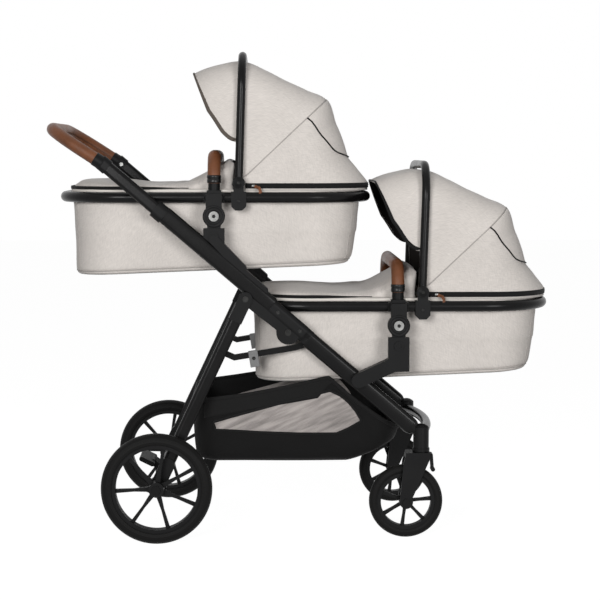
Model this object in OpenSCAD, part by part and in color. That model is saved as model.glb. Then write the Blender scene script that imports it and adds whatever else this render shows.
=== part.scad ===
// Twin pram: folding tube chassis, two carrycots in tandem, one high and one low.
// X runs forward, Y across and Z up. The origin is on the floor under the middle of the pram.

/* [Wheels] */
// Rear wheel diameter over the tyre
rear_wheel_d = 280; // [240:1:300]
// Rear tyre width
rear_tyre_w = 42; // [30:1:44]
// Rear tyre height, from the tread to the rim
rear_tyre_t = 27; // [18:1:32]
// Front wheel diameter over the tyre
front_wheel_d = 188; // [160:1:200]
// Front tyre width
front_tyre_w = 30; // [24:1:30]
// Front tyre height, from the tread to the rim
front_tyre_t = 20; // [14:1:24]
// Radial depth of the wheel rims
rim_depth = 10; // [7:1:14]
// Spokes in each wheel
spoke_count = 7; // [5:1:9]
// Thickness of a spoke across the wheel
spoke_t = 9; // [6:1:14]
// Distance from the rear axle to the front axle
wheelbase = 632; // [600:1:680]
// Distance between the middles of the rear wheels
rear_track = 564; // [560:1:620]

/* [Chassis] */
// Distance from the middle of the pram to the middle of a main tube
side_y = 246; // [244:1:250]
// Height of the oval main tubes
tube_h = 38; // [34:1:42]
// Width of the oval main tubes
tube_w = 24; // [22:1:24]
// Wall of the oval tubes
tube_wall = 2; // [1.5:0.1:2.5]
// Slope of the main tubes below the horizontal
tube_slope = 40.5; // [38:0.5:43]
// Height of the oval front legs
front_leg_h = 34; // [30:1:36]
// Height of the oval rear legs
rear_leg_h = 32; // [28:1:33]
// Width of the oval rear legs
rear_leg_w = 20; // [16:1:20]
// Height of the fold pivot above the floor
fold_z = 530.5; // [520:0.5:540]
// Distance of the fold pivot ahead of the rear axle
fold_x = 331; // [320:1:340]
// Height of the rear leg pivot above the floor
leg_pivot_z = 615; // [605:1:625]
// Distance of the rear leg pivot ahead of the rear axle
leg_pivot_x = 224; // [215:1:232]
// Depth of the fold pivot below the axis of the main tube
fold_drop = 22; // [18:1:26]
// Radius of the round plates at the fold pivot
hinge_r = 30; // [24:1:34]
// Radius of the fold pins
pin_r = 5; // [4:0.5:6]

/* [Handle] */
// Length of bare sliding tube between the clamp collar and the grip
handle_out = 175; // [140:1:200]
// Length of sliding tube inside the main tube
handle_in = 190; // [150:1:220]
// Slope of the grip's plane above the horizontal
grip_slope = 33; // [25:1:40]
// Reach of the grip from its collars to the middle of its bar
grip_reach = 160; // [140:1:175]
// Radius of the leather grip
grip_r = 16; // [14:0.5:18]
// Radius of the grip's corners at its centreline
grip_bend = 105; // [80:1:115]

/* [Cots] */
// Outside length of a cot's rim
cot_len = 806; // [780:1:830]
// Distance from the middle of a cot to the middle of its rim tube
rim_y = 211; // [205:1:212]
// Radius of the rim tube
rim_r = 13.5; // [11:0.5:14]
// Corner radius of the rim at its centreline
rim_corner = 165; // [120:1:190]
// Height of the upper rim's axis above the floor
upper_rim_z = 868; // [855:1:880]
// Distance of the upper cot's middle ahead of the rear axle
upper_cot_x = 145.5; // [138:0.5:150]
// Height from the lower rim's axis up to the upper one
cot_rise = 276; // [272:1:285]
// Distance from the upper cot's middle forward to the lower one
cot_step = 465; // [460:1:475]
// Depth of the tub below the rim's axis at the foot
tub_foot_depth = 193; // [170:1:196]
// Depth of the tub below the rim's axis at the head
tub_head_depth = 170; // [150:1:180]
// Wall of the padded tub
tub_wall = 6; // [4:0.5:9]
// Thickness of the mattress
mattress_t = 42; // [30:1:55]

/* [Hood] */
// Distance of the hood pivot ahead of the cot's middle
hood_x = 62; // [55:1:70]
// Height of the hood pivot above the rim's axis
hood_z = 37; // [35:1:42]
// Height of the bow's centreline above its pivot
bow_reach = 321; // [300:1:330]
// Radius of the bow tube
bow_r = 10.5; // [8:0.5:11]
// Corner radius of the bow at its centreline
bow_corner = 82; // [60:1:110]
// Thickness of the hood's cloth layers
cloth_t = 2.5; // [2:0.1:3]

/* [Bumper] */
// Height of the bumper bar's centreline above the rim's axis
bumper_z = 103; // [95:1:115]
// Radius of the leather bumper bar
bumper_r = 16.5; // [14:0.5:17]
// Corner radius of the bumper bar at its centreline
bumper_bend = 54; // [40:1:56]

/* [Basket] */
// Half width of the basket
basket_y = 196; // [180:1:198]
// Height of the basket's floor above the ground
basket_floor = 196; // [192:1:215]
// Thickness of the basket's cloth
basket_t = 3; // [2.5:0.1:4]

/* [Fits] */
// Radial clearance of pins in their bores
run_gap = 0.05; // [0.02:0.01:0.08]
// Gap between parts that slide past each other
slide_gap = 0.5; // [0.3:0.1:0.8]
// Gap between soft parts and their seats
seat_gap = 0.3; // [0.2:0.05:0.5]

/* [Hidden] */
$fn = 48;

FRAME = "#232426";
PLASTIC = "#303236";
LEATHER = "#5a3d2e";
CLOTH = "#b9b5ad";
LINING = "#d8d5ce";
STEEL = "#b8babd";
MESH = "#3a3b3e";
RUBBER = "#2b2c2d";

// Places along the pram, measured from the rear axle, put the origin under its middle.
tube_dir = [cos(tube_slope), -sin(tube_slope)];
tube_up = [sin(tube_slope), cos(tube_slope)];
collar_s = -450;
handle_tip_x = fold_x + fold_drop * tube_up[0] + (collar_s - handle_out) * tube_dir[0]
    - grip_reach * cos(grip_slope) - grip_r;
front_tip_x = upper_cot_x + cot_step + cot_len / 2;
axle_x = -(handle_tip_x + front_tip_x) / 2;

rear_r = rear_wheel_d / 2;
front_r = front_wheel_d / 2;
rear_axle_p = [axle_x, rear_r];
front_axle_p = [axle_x + wheelbase, front_r];
fold_p = [axle_x + fold_x, fold_z];
leg_p = [axle_x + leg_pivot_x, leg_pivot_z];
// The foot of the fold pivot's square on the main tube's axis is where distances along the tube start.
tube_o = fold_p + fold_drop * tube_up;
function on_tube(s, n = 0) = tube_o + s * tube_dir + n * tube_up;

// The sideways planes of the legs let each fold past the next.
plane_gap = 3;
front_y = side_y - tube_w - plane_gap;
front_leg_w = tube_w;
stay_t = 9;
stay_y = front_y - front_leg_w / 2 - 1.5 - stay_t / 2;
rear_y = rear_track / 2;

caster_trail = 38.5;
caster_x = front_axle_p[0] + caster_trail;
housing_r = 20;
housing_low = front_r + 128;
housing_h = 62;
// The front legs end where their axis meets the caster's axis.
leg_end_s = (caster_x - tube_o[0]) / tube_dir[0];

upper_cot_p = [axle_x + upper_cot_x, upper_rim_z];
lower_cot_p = upper_cot_p + [cot_step, -cot_rise];

// Draws its children on the right side, and again mirrored on the left.
module both_sides() {
    children();
    mirror([0, 1, 0]) children();
}

// Moves its children to a point of the side view at a distance across the pram.
module at(p, y = 0) {
    translate([p[0], y, p[1]]) children();
}

// Turns its children so that Z runs across the pram, from y0 to y0 + length.
module across(p, y0) {
    translate([p[0], y0, p[1]]) rotate([-90, 0, 0]) children();
}

// Plate of a side view outline, between two distances across the pram.
module plate(y0, y1) {
    translate([0, y1, 0]) rotate([90, 0, 0]) linear_extrude(y1 - y0) children();
}

// Oval with straight flanks, tall along X.
module oval(h, w) {
    square([h - w, w], center = true);
    for (s = [-1, 1]) translate([s * (h - w) / 2, 0]) circle(d = w);
}

// Places Z along the line between two points of the side view.
module along(p, q, y) {
    d = q - p;
    translate([p[0], y, p[1]]) rotate([0, 90 - atan2(d[1], d[0]), 0]) children();
}

// Solid oval bar between two points of the side view.
module oval_bar(p, q, y, h, w) {
    along(p, q, y) linear_extrude(norm(q - p)) oval(h, w);
}

// Oval tube between two points of the side view.
module oval_tube(p, q, y, h, w) {
    len = norm(q - p);
    along(p, q, y) difference() {
        linear_extrude(len) oval(h, w);
        translate([0, 0, -1]) linear_extrude(len + 2) oval(h - 2 * tube_wall, w - 2 * tube_wall);
    }
}

// Flat bar with round ends between two points of the side view.
module link_2d(p, q, w) {
    d = q - p;
    translate(p) rotate(atan2(d[1], d[0])) translate([0, -w / 2]) square([norm(d), w]);
    for (e = [p, q]) translate(e) circle(d = w);
}

// Arch in the YZ plane: two legs, two round corners and a bar at height top.
module arch(half_w, low, top, bend, r) {
    both_sides() {
        translate([0, -half_w, low]) cylinder(r = r, h = top - bend - low);
        translate([0, -half_w + bend, top - bend]) rotate([90, 0, -90])
            rotate_extrude(angle = 90) translate([bend, 0]) circle(r);
    }
    translate([0, -half_w + bend, top]) rotate([-90, 0, 0]) cylinder(r = r, h = 2 * (half_w - bend));
}

// Skin over a list of rings that all have the same even number of points. Each end is closed by strips
// between the points that mirror each other in the ring, first to last.
module skin(rings) {
    n = len(rings[0]);
    m = len(rings);
    top = (m - 1) * n;
    points = [for (ring = rings) each ring];
    sides = [for (i = [0 : m - 2], j = [0 : n - 1], half = [0, 1])
        let (a = i * n + j, b = i * n + (j + 1) % n)
        half == 0 ? [a, b + n, b] : [a, a + n, b + n]];
    caps = [for (k = [0 : n / 2 - 2]) each [
        [k, n - 2 - k, n - 1 - k], [k, k + 1, n - 2 - k],
        [top + k, top + n - 2 - k, top + k + 1], [top + k, top + n - 1 - k, top + n - 2 - k]]];
    polyhedron(points, concat(sides, caps), convexity = 6);
}

// Outline with round corners, anticlockwise from above, as points in a level plane.
function corner_pts(c, r, from, steps) =
    [for (i = [0 : steps]) c + r * [cos(from + 90 * i / steps), sin(from + 90 * i / steps)]];
function between(a, b, n) = [for (i = [1 : 1 : n]) a + (b - a) * i / (n + 1)];
function oblong(x0, x1, y, r, steps = 6, flank = 0) = concat(
    corner_pts([x1 - r, y - r], r, 0, steps), between([x1 - r, y], [x0 + r, y], flank),
    corner_pts([x0 + r, y - r], r, 90, steps), corner_pts([x0 + r, r - y], r, 180, steps),
    between([x0 + r, -y], [x1 - r, -y], flank), corner_pts([x1 - r, r - y], r, 270, steps));

function reversed(list) = [for (i = [len(list) - 1 : -1 : 0]) list[i]];

// Main tubes

module upper_tubes() {
    color(FRAME) both_sides() difference() {
        oval_tube(on_tube(collar_s), on_tube(tube_end_s), -side_y, tube_h, tube_w);
        across(fold_p, -side_y - 40) cylinder(r = pin_r, h = 80);
    }
}
tube_end_s = 30;

module tube_collars() {
    collar_len = 30;
    lip = 5;
    color(PLASTIC) both_sides() along(on_tube(collar_s - lip), on_tube(0), -side_y) difference() {
        linear_extrude(collar_len) oval(tube_h + 7, tube_w + 7);
        translate([0, 0, lip]) linear_extrude(collar_len) oval(tube_h, tube_w);
        translate([0, 0, -1]) linear_extrude(collar_len)
            oval(slider_h + 2 * slide_gap, slider_w + 2 * slide_gap);
    }
}
slider_h = tube_h - 2 * tube_wall - 2 * slide_gap;
slider_w = tube_w - 2 * tube_wall - 2 * slide_gap;

// Cast bracket under each main tube: a sleeve on the tube's end, the fold plate and the rear leg's lug.
lug_r = 13;
cheek_gap = 0.4;
sleeve_s = -74;
module fold_castings() {
    sleeve_wall = 1.5;
    color(PLASTIC) both_sides() difference() {
        union() {
            along(on_tube(sleeve_s), on_tube(0), -side_y)
                linear_extrude(tube_end_s + 4 - sleeve_s)
                    oval(tube_h + 2 * sleeve_wall, tube_w + 2 * sleeve_wall);
            plate(-side_y - tube_w / 2, -side_y + tube_w / 2) {
                translate(fold_p) circle(hinge_r);
                link_2d(on_tube(sleeve_s + 12, -14), on_tube(tube_end_s - 12, -14), 20);
            }
            plate(-side_y - tube_w / 2, -side_y + tube_w / 2)
                link_2d(leg_p, fold_p, 2 * lug_r);
        }
        oval_bar(on_tube(collar_s), on_tube(tube_end_s), -side_y, tube_h, tube_w);
        across(fold_p, -side_y - 40) cylinder(r = pin_r, h = 80);
        across(leg_p, -side_y - 40) cylinder(r = pin_r, h = 80);
    }
}

// Sockets that hold the cots
adapter_y = 240;
tongue_w = 34;
tongue_t = 12;
socket_w = 53;
socket_t = 22;
socket_top = -76;
socket_low = -116;
tongue_low = -110;

// Socket block below a cot's middle, given in the cot's side view.
module socket(cot_p, low) {
    difference() {
        plate(-adapter_y - socket_t / 2, -adapter_y + socket_t / 2)
            translate(cot_p + [-socket_w / 2, low]) square([socket_w, socket_top - low]);
        at(cot_p, -adapter_y) translate([-tongue_w / 2 - slide_gap, -tongue_t / 2 - slide_gap, socket_low + 4])
            cube([tongue_w + 2 * slide_gap, tongue_t + 2 * slide_gap, socket_top - socket_low]);
    }
    across(cot_p + [0, -97], -adapter_y - socket_t / 2 - 4) difference() {
        cylinder(d = 24, h = 4);
        translate([0, 0, -1]) cylinder(d = 14, h = 3);
    }
}

module upper_brackets() {
    arm_s = [-232, -112];
    arm_h = 14;
    color(PLASTIC) both_sides() difference() {
        union() {
            socket(upper_cot_p, socket_low);
            plate(-side_y - tube_w / 2 + 2, -adapter_y + socket_t / 2)
                link_2d(on_tube(arm_s[0], tube_h / 2 + 5), on_tube(arm_s[1], tube_h / 2 + 3), arm_h);
            plate(-side_y - tube_w / 2 + 2, -adapter_y + socket_t / 2)
                link_2d(upper_cot_p + [0, -104], on_tube(arm_s[0] + 40, tube_h / 2 + 6), 24);
        }
        oval_bar(on_tube(-500), on_tube(100), -side_y, tube_h, tube_w);
        at(upper_cot_p, -adapter_y) translate([-tongue_w / 2 - slide_gap, -tongue_t / 2 - slide_gap, socket_low + 4])
            cube([tongue_w + 2 * slide_gap, tongue_t + 2 * slide_gap, socket_top - socket_low]);
    }
}

module lower_brackets() {
    arm_root = on_tube(216, 0);
    color(PLASTIC) both_sides() difference() {
        union() {
            socket(lower_cot_p, socket_low - 46);
            plate(-adapter_y - socket_t / 2, -front_y)
                link_2d(lower_cot_p + [-8, socket_low - 26], arm_root, 36);
        }
        oval_bar(on_tube(-60), on_tube(leg_end_s), -front_y, front_leg_h, front_leg_w);
        at(lower_cot_p, -adapter_y) translate([-tongue_w / 2 - slide_gap, -tongue_t / 2 - slide_gap, socket_low + 4])
            cube([tongue_w + 2 * slide_gap, tongue_t + 2 * slide_gap, socket_top - socket_low]);
    }
}

// Pins of the fold pivots and of the rear leg pivots
cheek_t = 4;
module pivot_pins() {
    inner = -front_y + front_leg_w / 2 + 0.5;
    outer = -side_y - tube_w / 2;
    color(STEEL) both_sides() {
        across(fold_p, outer - 2) {
            cylinder(r = pin_r, h = inner - outer + 2);
            cylinder(r = pin_r + 3, h = 2);
        }
        across(leg_p, outer - cheek_t - 2.4) {
            cylinder(r = pin_r, h = tube_w + 2 * cheek_t + 4.4);
            cylinder(r = pin_r + 2.5, h = 2);
        }
    }
}

// Round heads of the screws that hold castings and brackets on the tubes
module frame_screws() {
    head_r = 4.5;
    head_t = 1.8;
    face = -side_y - tube_w / 2 - 1.5;
    color(STEEL) both_sides() for (p = [on_tube(-52, 0), on_tube(20, 0)])
        across(p, face - head_t) difference() {
            cylinder(r = head_r, h = head_t);
            translate([0, 0, -1]) cylinder(r = 2, h = 1.8, $fn = 6);
        }
}

// Handle

grip_p = on_tube(collar_s - handle_out);
module handle_tubes() {
    color(FRAME) both_sides()
        oval_tube(grip_p, on_tube(collar_s + handle_in), -side_y, slider_h, slider_w);
}

// Frame of the grip: X runs back along the grip's plane from its collars.
module grip_plane() {
    at(grip_p) rotate([0, -(180 - grip_slope), 0]) children();
}

module handle_grip() {
    collar_len = 24;
    color(LEATHER) grip_plane() rotate([0, 90, 0])
        arch(side_y, collar_len, grip_reach, grip_bend, grip_r);
}

module handle_collars() {
    collar_len = 24;
    color(PLASTIC) difference() {
        both_sides() {
            grip_plane() translate([0, -side_y, 0]) rotate([0, 90, 0]) {
                translate([0, 0, 2]) cylinder(r = grip_r + 1.5, h = collar_len - 2);
            }
            along(grip_p, on_tube(0), -side_y) translate([0, 0, -8]) linear_extrude(24)
                oval(slider_h + 5, slider_w + 6);
        }
        both_sides() oval_bar(grip_p, on_tube(0), -side_y, slider_h, slider_w);
        both_sides() across(button_p, -side_y + slider_w / 2 - 1)
            cylinder(r = button_r + slide_gap, h = 30);
    }
}

button_r = 5;
button_p = grip_p + 8 * tube_dir;
module handle_button(side) {
    color(STEEL) mirror([0, side > 0 ? 1 : 0, 0])
        across(button_p, -side_y + slider_w / 2 + 3.2) cylinder(r = button_r, h = 4.5);
}
module handle_button_left() handle_button(1);
module handle_button_right() handle_button(-1);

// Front legs and casters

module front_legs() {
    color(FRAME) both_sides() difference() {
        oval_tube(on_tube(-6), on_tube(leg_end_s), -front_y, front_leg_h, front_leg_w);
        translate([caster_x, -front_y, 0]) cylinder(r = housing_r, h = 600);
        across(fold_p, -front_y - 40) cylinder(r = pin_r + 2, h = 80);
    }
}

module front_knuckles() {
    wrap = 1.2;
    color(PLASTIC) both_sides() difference() {
        union() {
            plate(-front_y - front_leg_w / 2, -front_y + front_leg_w / 2) {
                translate(fold_p) circle(hinge_r - 1);
                link_2d(on_tube(-6, -12), on_tube(46, -12), 18);
            }
            along(on_tube(-16), on_tube(100), -front_y) linear_extrude(70)
                oval(front_leg_h + 2 * wrap, front_leg_w);
        }
        oval_bar(on_tube(-6), on_tube(leg_end_s), -front_y, front_leg_h, front_leg_w);
        across(fold_p, -front_y - 40) cylinder(r = pin_r + run_gap, h = 80);
    }
}

// Cross tube that bows forward between the caster housings
module front_crossbar() {
    bow = 30;
    tube_r = 13;
    half = front_y - housing_r + 2;
    big_r = (half * half + bow * bow) / (2 * bow);
    sweep = asin(half / big_r);
    color(FRAME) difference() {
        translate([caster_x + bow - big_r, 0, housing_low + 44]) rotate([0, 0, -sweep])
            rotate_extrude(angle = 2 * sweep, $fn = 96) translate([big_r, 0]) circle(tube_r);
        both_sides() translate([caster_x, -front_y, 0]) cylinder(r = housing_r, h = 600);
    }
}

stem_r = 7;
module caster_housings() {
    dome = 9;
    color(PLASTIC) both_sides() translate([caster_x, -front_y, housing_low]) difference() {
        union() {
            cylinder(r = housing_r, h = housing_h);
            translate([0, 0, housing_h]) intersection() {
                cylinder(r = housing_r, h = dome);
                translate([0, 0, dome - (housing_r * housing_r + dome * dome) / (2 * dome)])
                    sphere((housing_r * housing_r + dome * dome) / (2 * dome));
            }
            cylinder(r = housing_r + 2, h = 8);
        }
        translate([0, 0, -1]) cylinder(r = stem_r + run_gap, h = housing_h - 12);
    }
}

fork_gap = 3;
blade_t = 8;
axle_r = 5;
// Fork with its stem and axle, for the caster on one side
module caster_fork(side) {
    half = front_tyre_w / 2 + fork_gap;
    crown_top = housing_low - 1;
    crown_t = 13;
    y = side * front_y;
    hub_boss = 17;
    color(PLASTIC) translate([0, y, 0]) {
        for (s = [-1, 1]) {
            plate(s > 0 ? half : -half - blade_t, s > 0 ? half + blade_t : -half) {
                translate(front_axle_p) circle(hub_boss);
                polygon([front_axle_p + [-hub_boss, 2], front_axle_p + [4, -hub_boss + 1],
                    [caster_x + 8, crown_top - 46], [caster_x + 22, crown_top - 14], [caster_x + 22, crown_top],
                    [caster_x - 38, crown_top], [caster_x - 46, crown_top - 26]]);
            }
        }
        plate(-half - blade_t, half + blade_t)
            polygon([[caster_x - 38, crown_top], [caster_x + 22, crown_top],
                [caster_x + 22, crown_top - crown_t], [caster_x - 42, crown_top - crown_t]]);
        translate([caster_x, 0, crown_top - 1]) cylinder(r = stem_r, h = housing_h - 16);
        across(front_axle_p, -half - blade_t - 3) {
            cylinder(r = axle_r, h = 2 * (half + blade_t) + 6);
            cylinder(r = axle_r + 4, h = 3);
            translate([0, 0, 2 * (half + blade_t) + 3]) cylinder(r = axle_r + 4, h = 3);
        }
    }
}
module caster_fork_left() caster_fork(1);
module caster_fork_right() caster_fork(-1);

// Lever on the nose of a fork that stops its swivel
lock_p = [caster_x + 26, housing_low - 8];
module swivel_lock(side) {
    lever_w = 26;
    tip = lock_p + [3, -38];
    color(PLASTIC) translate([0, side * front_y, 0]) plate(-lever_w / 2, lever_w / 2) {
        link_2d(lock_p, tip, 7);
        translate(tip + [1, 0]) circle(5.5);
    }
}
module swivel_lock_left() swivel_lock(1);
module swivel_lock_right() swivel_lock(-1);

// Wheels

// Rim with spokes and a hub, turning on the Y axis
module wheel_rim(r, half_w, hub_r, hub_half, turn) {
    inner = r - rim_depth;
    root = 0.34 * hub_r;
    rotate([90, 0, 0]) difference() {
        union() {
            rotate_extrude($fn = 96) {
                translate([inner, -half_w]) square([rim_depth, 2 * half_w]);
                translate([0, -hub_half]) square([hub_r, 2 * hub_half]);
            }
            for (k = [0 : spoke_count - 1]) rotate([0, 0, turn + k * 360 / spoke_count])
                translate([0, 0, -spoke_t / 2]) linear_extrude(spoke_t)
                    polygon([[hub_r - 2, -root], [inner * 0.55, -3.6], [inner + 2, -5],
                        [inner + 2, 5], [inner * 0.55, 3.6], [hub_r - 2, root]]);
        }
        translate([0, 0, -60]) cylinder(r = axle_r + run_gap, h = 120);
    }
}

// Tyre with a round crown, turning on the Y axis
module wheel_tyre(r, t, w) {
    shoulder = min(t, w / 2) - 2;
    rotate([90, 0, 0]) difference() {
        rotate_extrude($fn = 96) {
            translate([r - 2 * shoulder, -w / 2 + shoulder]) square([2 * shoulder, w - 2 * shoulder]);
            for (s = [-1, 1]) translate([r - shoulder, s * (w / 2 - shoulder)]) circle(shoulder);
        }
        cylinder(r = r - t, h = 2 * w, center = true);
    }
}

module front_rim(side) {
    color(PLASTIC) at(front_axle_p, side * front_y)
        wheel_rim(front_r - front_tyre_t, front_tyre_w / 2 - 4, 13, front_tyre_w / 2 + fork_gap - 0.4, 5);
}
module front_tyre(side) {
    color(RUBBER) at(front_axle_p, side * front_y) wheel_tyre(front_r, front_tyre_t, front_tyre_w);
}
module rear_rim(side) {
    color(PLASTIC) at(rear_axle_p, side * rear_y)
        wheel_rim(rear_r - rear_tyre_t, rear_tyre_w / 2 - 6, 19, rear_tyre_w / 2, 80);
}
module rear_tyre(side) {
    color(RUBBER) at(rear_axle_p, side * rear_y) wheel_tyre(rear_r, rear_tyre_t, rear_tyre_w);
}
module front_rim_left() front_rim(1);
module front_rim_right() front_rim(-1);
module front_tyre_left() front_tyre(1);
module front_tyre_right() front_tyre(-1);
module rear_rim_left() rear_rim(1);
module rear_rim_right() rear_rim(-1);
module rear_tyre_left() rear_tyre(1);
module rear_tyre_right() rear_tyre(-1);

// Rear legs and axle

rear_leg_dir = (rear_axle_p - leg_p) / norm(rear_axle_p - leg_p);
function on_leg(s) = leg_p + s * rear_leg_dir;
leg_start = 26;
basket_back = rear_axle_p[0] + 112;
back_top = 347;
housing_top = 60;
leg_len = norm(rear_axle_p - leg_p);

// Rear legs, joined by the rail that the basket's back hem hangs on
rail_r = 4;
rail_p = [basket_back - rail_r - seat_gap, back_top - 6];
module rear_legs() {
    rail_y = side_y - rear_leg_w / 2 + 3;
    color(FRAME) {
        both_sides() difference() {
            oval_tube(on_leg(leg_start), on_leg(leg_len - 22), -side_y, rear_leg_h, rear_leg_w);
            across(stay_c, -side_y - 40) cylinder(r = pin_r + run_gap, h = 80);
        }
        across(rail_p, -rail_y) cylinder(r = rail_r, h = 2 * rail_y);
    }
}

// Cap with two cheeks that hold a rear leg on its lug
module rear_leg_caps() {
    reach = 62;
    root = 19;
    out_w = tube_w + 2 * cheek_t + 2 * cheek_gap;
    color(PLASTIC) both_sides() difference() {
        plate(-side_y - out_w / 2, -side_y + out_w / 2) {
            translate(leg_p) circle(d = rear_leg_h + 3.6);
            translate(leg_p) rotate(atan2(rear_leg_dir[1], rear_leg_dir[0]))
                translate([0, -rear_leg_h / 2 - 1.4]) square([reach, rear_leg_h + 2.8]);
        }
        along(on_leg(root), on_leg(-root), -side_y)
            translate([-rear_leg_h, -tube_w / 2 - cheek_gap, 0])
                cube([2 * rear_leg_h, tube_w + 2 * cheek_gap, 3 * root]);
        oval_bar(on_leg(leg_start), on_leg(120), -side_y, rear_leg_h, rear_leg_w);
        across(leg_p, -side_y - 40) cylinder(r = pin_r + run_gap, h = 80);
    }
}

axle_tube_r = 12;
module rear_axle() {
    inner = side_y - rear_leg_w / 2 - 3;
    color(FRAME) {
        across(rear_axle_p, -inner) difference() {
            cylinder(r = axle_tube_r, h = 2 * inner);
            translate([0, 0, 4]) cylinder(r = axle_tube_r - tube_wall, h = 2 * inner - 8);
        }
        both_sides() across(rear_axle_p, -rear_y - rear_tyre_w / 2 - 4) {
            cylinder(r = axle_r, h = rear_y + rear_tyre_w / 2 + 4 - inner + 1);
            cylinder(r = axle_r + 6, h = 3.5);
        }
    }
}

module axle_housings() {
    inner = -side_y + rear_leg_w / 2 + 1.2;
    outer = -side_y - rear_leg_w / 2 - 3;
    color(PLASTIC) both_sides() difference() {
        plate(outer, inner) {
            translate(rear_axle_p) circle(23);
            link_2d(rear_axle_p, on_leg(leg_len - housing_top), rear_leg_h + 5);
        }
        oval_bar(on_leg(leg_len - 200), on_leg(leg_len - 22), -side_y, rear_leg_h, rear_leg_w);
        across(rear_axle_p, outer - 1) cylinder(r = axle_r, h = inner - outer + 2);
    }
}

// Foot pedal that turns on the axle tube to brake both wheels
module brake_pedal() {
    half = 44;
    collar_r = axle_tube_r + 6;
    pad = [rear_axle_p + [-26, 20], rear_axle_p + [-54, 34]];
    color(PLASTIC) difference() {
        union() {
            across(rear_axle_p, -half) cylinder(r = collar_r, h = 2 * half);
            plate(-30, 30) link_2d(rear_axle_p, pad[0], 16);
            plate(-half - 16, half + 16) link_2d(pad[0], pad[1], 12);
        }
        across(rear_axle_p, -half - 20) cylinder(r = axle_tube_r + run_gap, h = 2 * half + 40);
    }
}

// Stay bars between the rear and front legs

stay_c = on_leg(152);
stay_d = on_tube(68);
stay_h = 15;
stay_bends = [stay_c, stay_c + [36, -16], stay_d + [-46, -16], stay_d];
stay_run = [for (i = [0 : 2]) (stay_bends[i + 1] - stay_bends[i]) / norm(stay_bends[i + 1] - stay_bends[i])];
// Half width vector at each bend, mitred between the runs on either side
function stay_side(i) =
    let (a = stay_run[max(i - 1, 0)], b = stay_run[min(i, 2)])
    [-a[1] - b[1], a[0] + b[0]] * stay_h / 2 / (1 + a * b);
module stay_line() {
    eye_d = stay_h + 2;
    polygon(concat(
        [for (i = [0 : 3]) stay_bends[i] + stay_side(i)],
        [for (i = [3 : -1 : 0]) stay_bends[i] - stay_side(i)]));
    translate(stay_bends[0]) circle(d = eye_d);
    translate(stay_bends[3]) circle(d = eye_d);
}
module stay_bars() {
    color(FRAME) both_sides() {
        plate(-stay_y - stay_t / 2, -stay_y + stay_t / 2) stay_line();
        across(stay_c, -side_y - rear_leg_w / 2 - 2) {
            cylinder(r = pin_r, h = side_y - stay_y + rear_leg_w / 2);
            cylinder(r = pin_r + 3, h = 1.7);
        }
    }
}

// Webbing loop sewn round each stay bar, with a short tail
module fold_strap() {
    strap_w = 24;
    strap_t = 2;
    tail = 14;
    run = stay_bends[2] - stay_bends[1];
    half = stay_h / 2 + seat_gap;
    color("#8d9092") both_sides() at(stay_bends[1] + 0.3 * run, -stay_y)
        rotate([0, -atan2(run[1], run[0]), 0]) difference() {
            translate([-strap_w / 2, -stay_t / 2 - strap_t, -half - strap_t - tail])
                cube([strap_w, stay_t + 2 * strap_t, 2 * half + 2 * strap_t + tail]);
            translate([-strap_w, -stay_t / 2 - seat_gap, -half])
                cube([2 * strap_w, stay_t + 2 * seat_gap, 2 * half]);
            translate([-strap_w, -stay_t / 2, -half - strap_t - tail - 1])
                cube([2 * strap_w, stay_t + 2 * strap_t, tail + 1]);
        }
}

// Shopping basket: a cloth tray that hangs between the legs, with a long slope under its front.
basket_front = front_axle_p[0] - 14;
basket_nose = front_axle_p[0] - 150;
basket_peak = on_tube(116)[0];
peak_top = 409;
nose_lift = 58;
nose_depth = 26;
function basket_low(x) = basket_floor
    + (x > basket_nose ? nose_lift * pow((x - basket_nose) / (basket_front - basket_nose), 1.3) : 0);
function basket_high(x) = x < basket_peak
    ? back_top + (peak_top - back_top) * (x - basket_back) / (basket_peak - basket_back)
    : peak_top - (peak_top - basket_floor - nose_lift - nose_depth)
        * (x - basket_peak) / (basket_front - basket_peak);
// Ring at a share of the basket's height, drawn in by an inset and lifted by the cloth's thickness.
function basket_ring(share, inset, lift) =
    [for (p = oblong(basket_back + inset, basket_front - inset, basket_y - inset, 60 - inset / 2, 3, 9))
        [p[0], p[1], lift + basket_low(p[0]) + share * (basket_high(p[0]) - basket_low(p[0]))]];
module basket() {
    t = basket_t;
    color(MESH) skin([
        basket_ring(0, 34, 0), basket_ring(0.05, 14, 0), basket_ring(0.35, 4, 0), basket_ring(1, 0, 0),
        basket_ring(1, t, 0), basket_ring(0.35, 4 + t, 0), basket_ring(0.05, 14 + t, t), basket_ring(0, 36, t)
    ]);
}

// Cots: every module below is drawn about the middle of a cot, with Z from its rim's axis.

module upper_cot() { at(upper_cot_p) children(); }
module lower_cot() { at(lower_cot_p) children(); }

rim_x = cot_len / 2 - rim_r;
module cot_rim() {
    flat_x = rim_x - rim_corner;
    flat_y = rim_y - rim_corner;
    color(FRAME) {
        for (s = [-1, 1]) {
            translate([-flat_x, s * rim_y, 0]) rotate([0, 90, 0]) cylinder(r = rim_r, h = 2 * flat_x);
            translate([s * rim_x, -flat_y, 0]) rotate([-90, 0, 0]) cylinder(r = rim_r, h = 2 * flat_y);
        }
        for (k = [0 : 3]) {
            sx = k == 0 || k == 3 ? 1 : -1;
            sy = k < 2 ? 1 : -1;
            translate([sx * flat_x, sy * flat_y, 0]) rotate([0, 0, 90 * k])
                rotate_extrude(angle = 90, $fn = 96) translate([rim_corner, 0]) circle(rim_r);
        }
    }
}

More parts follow.
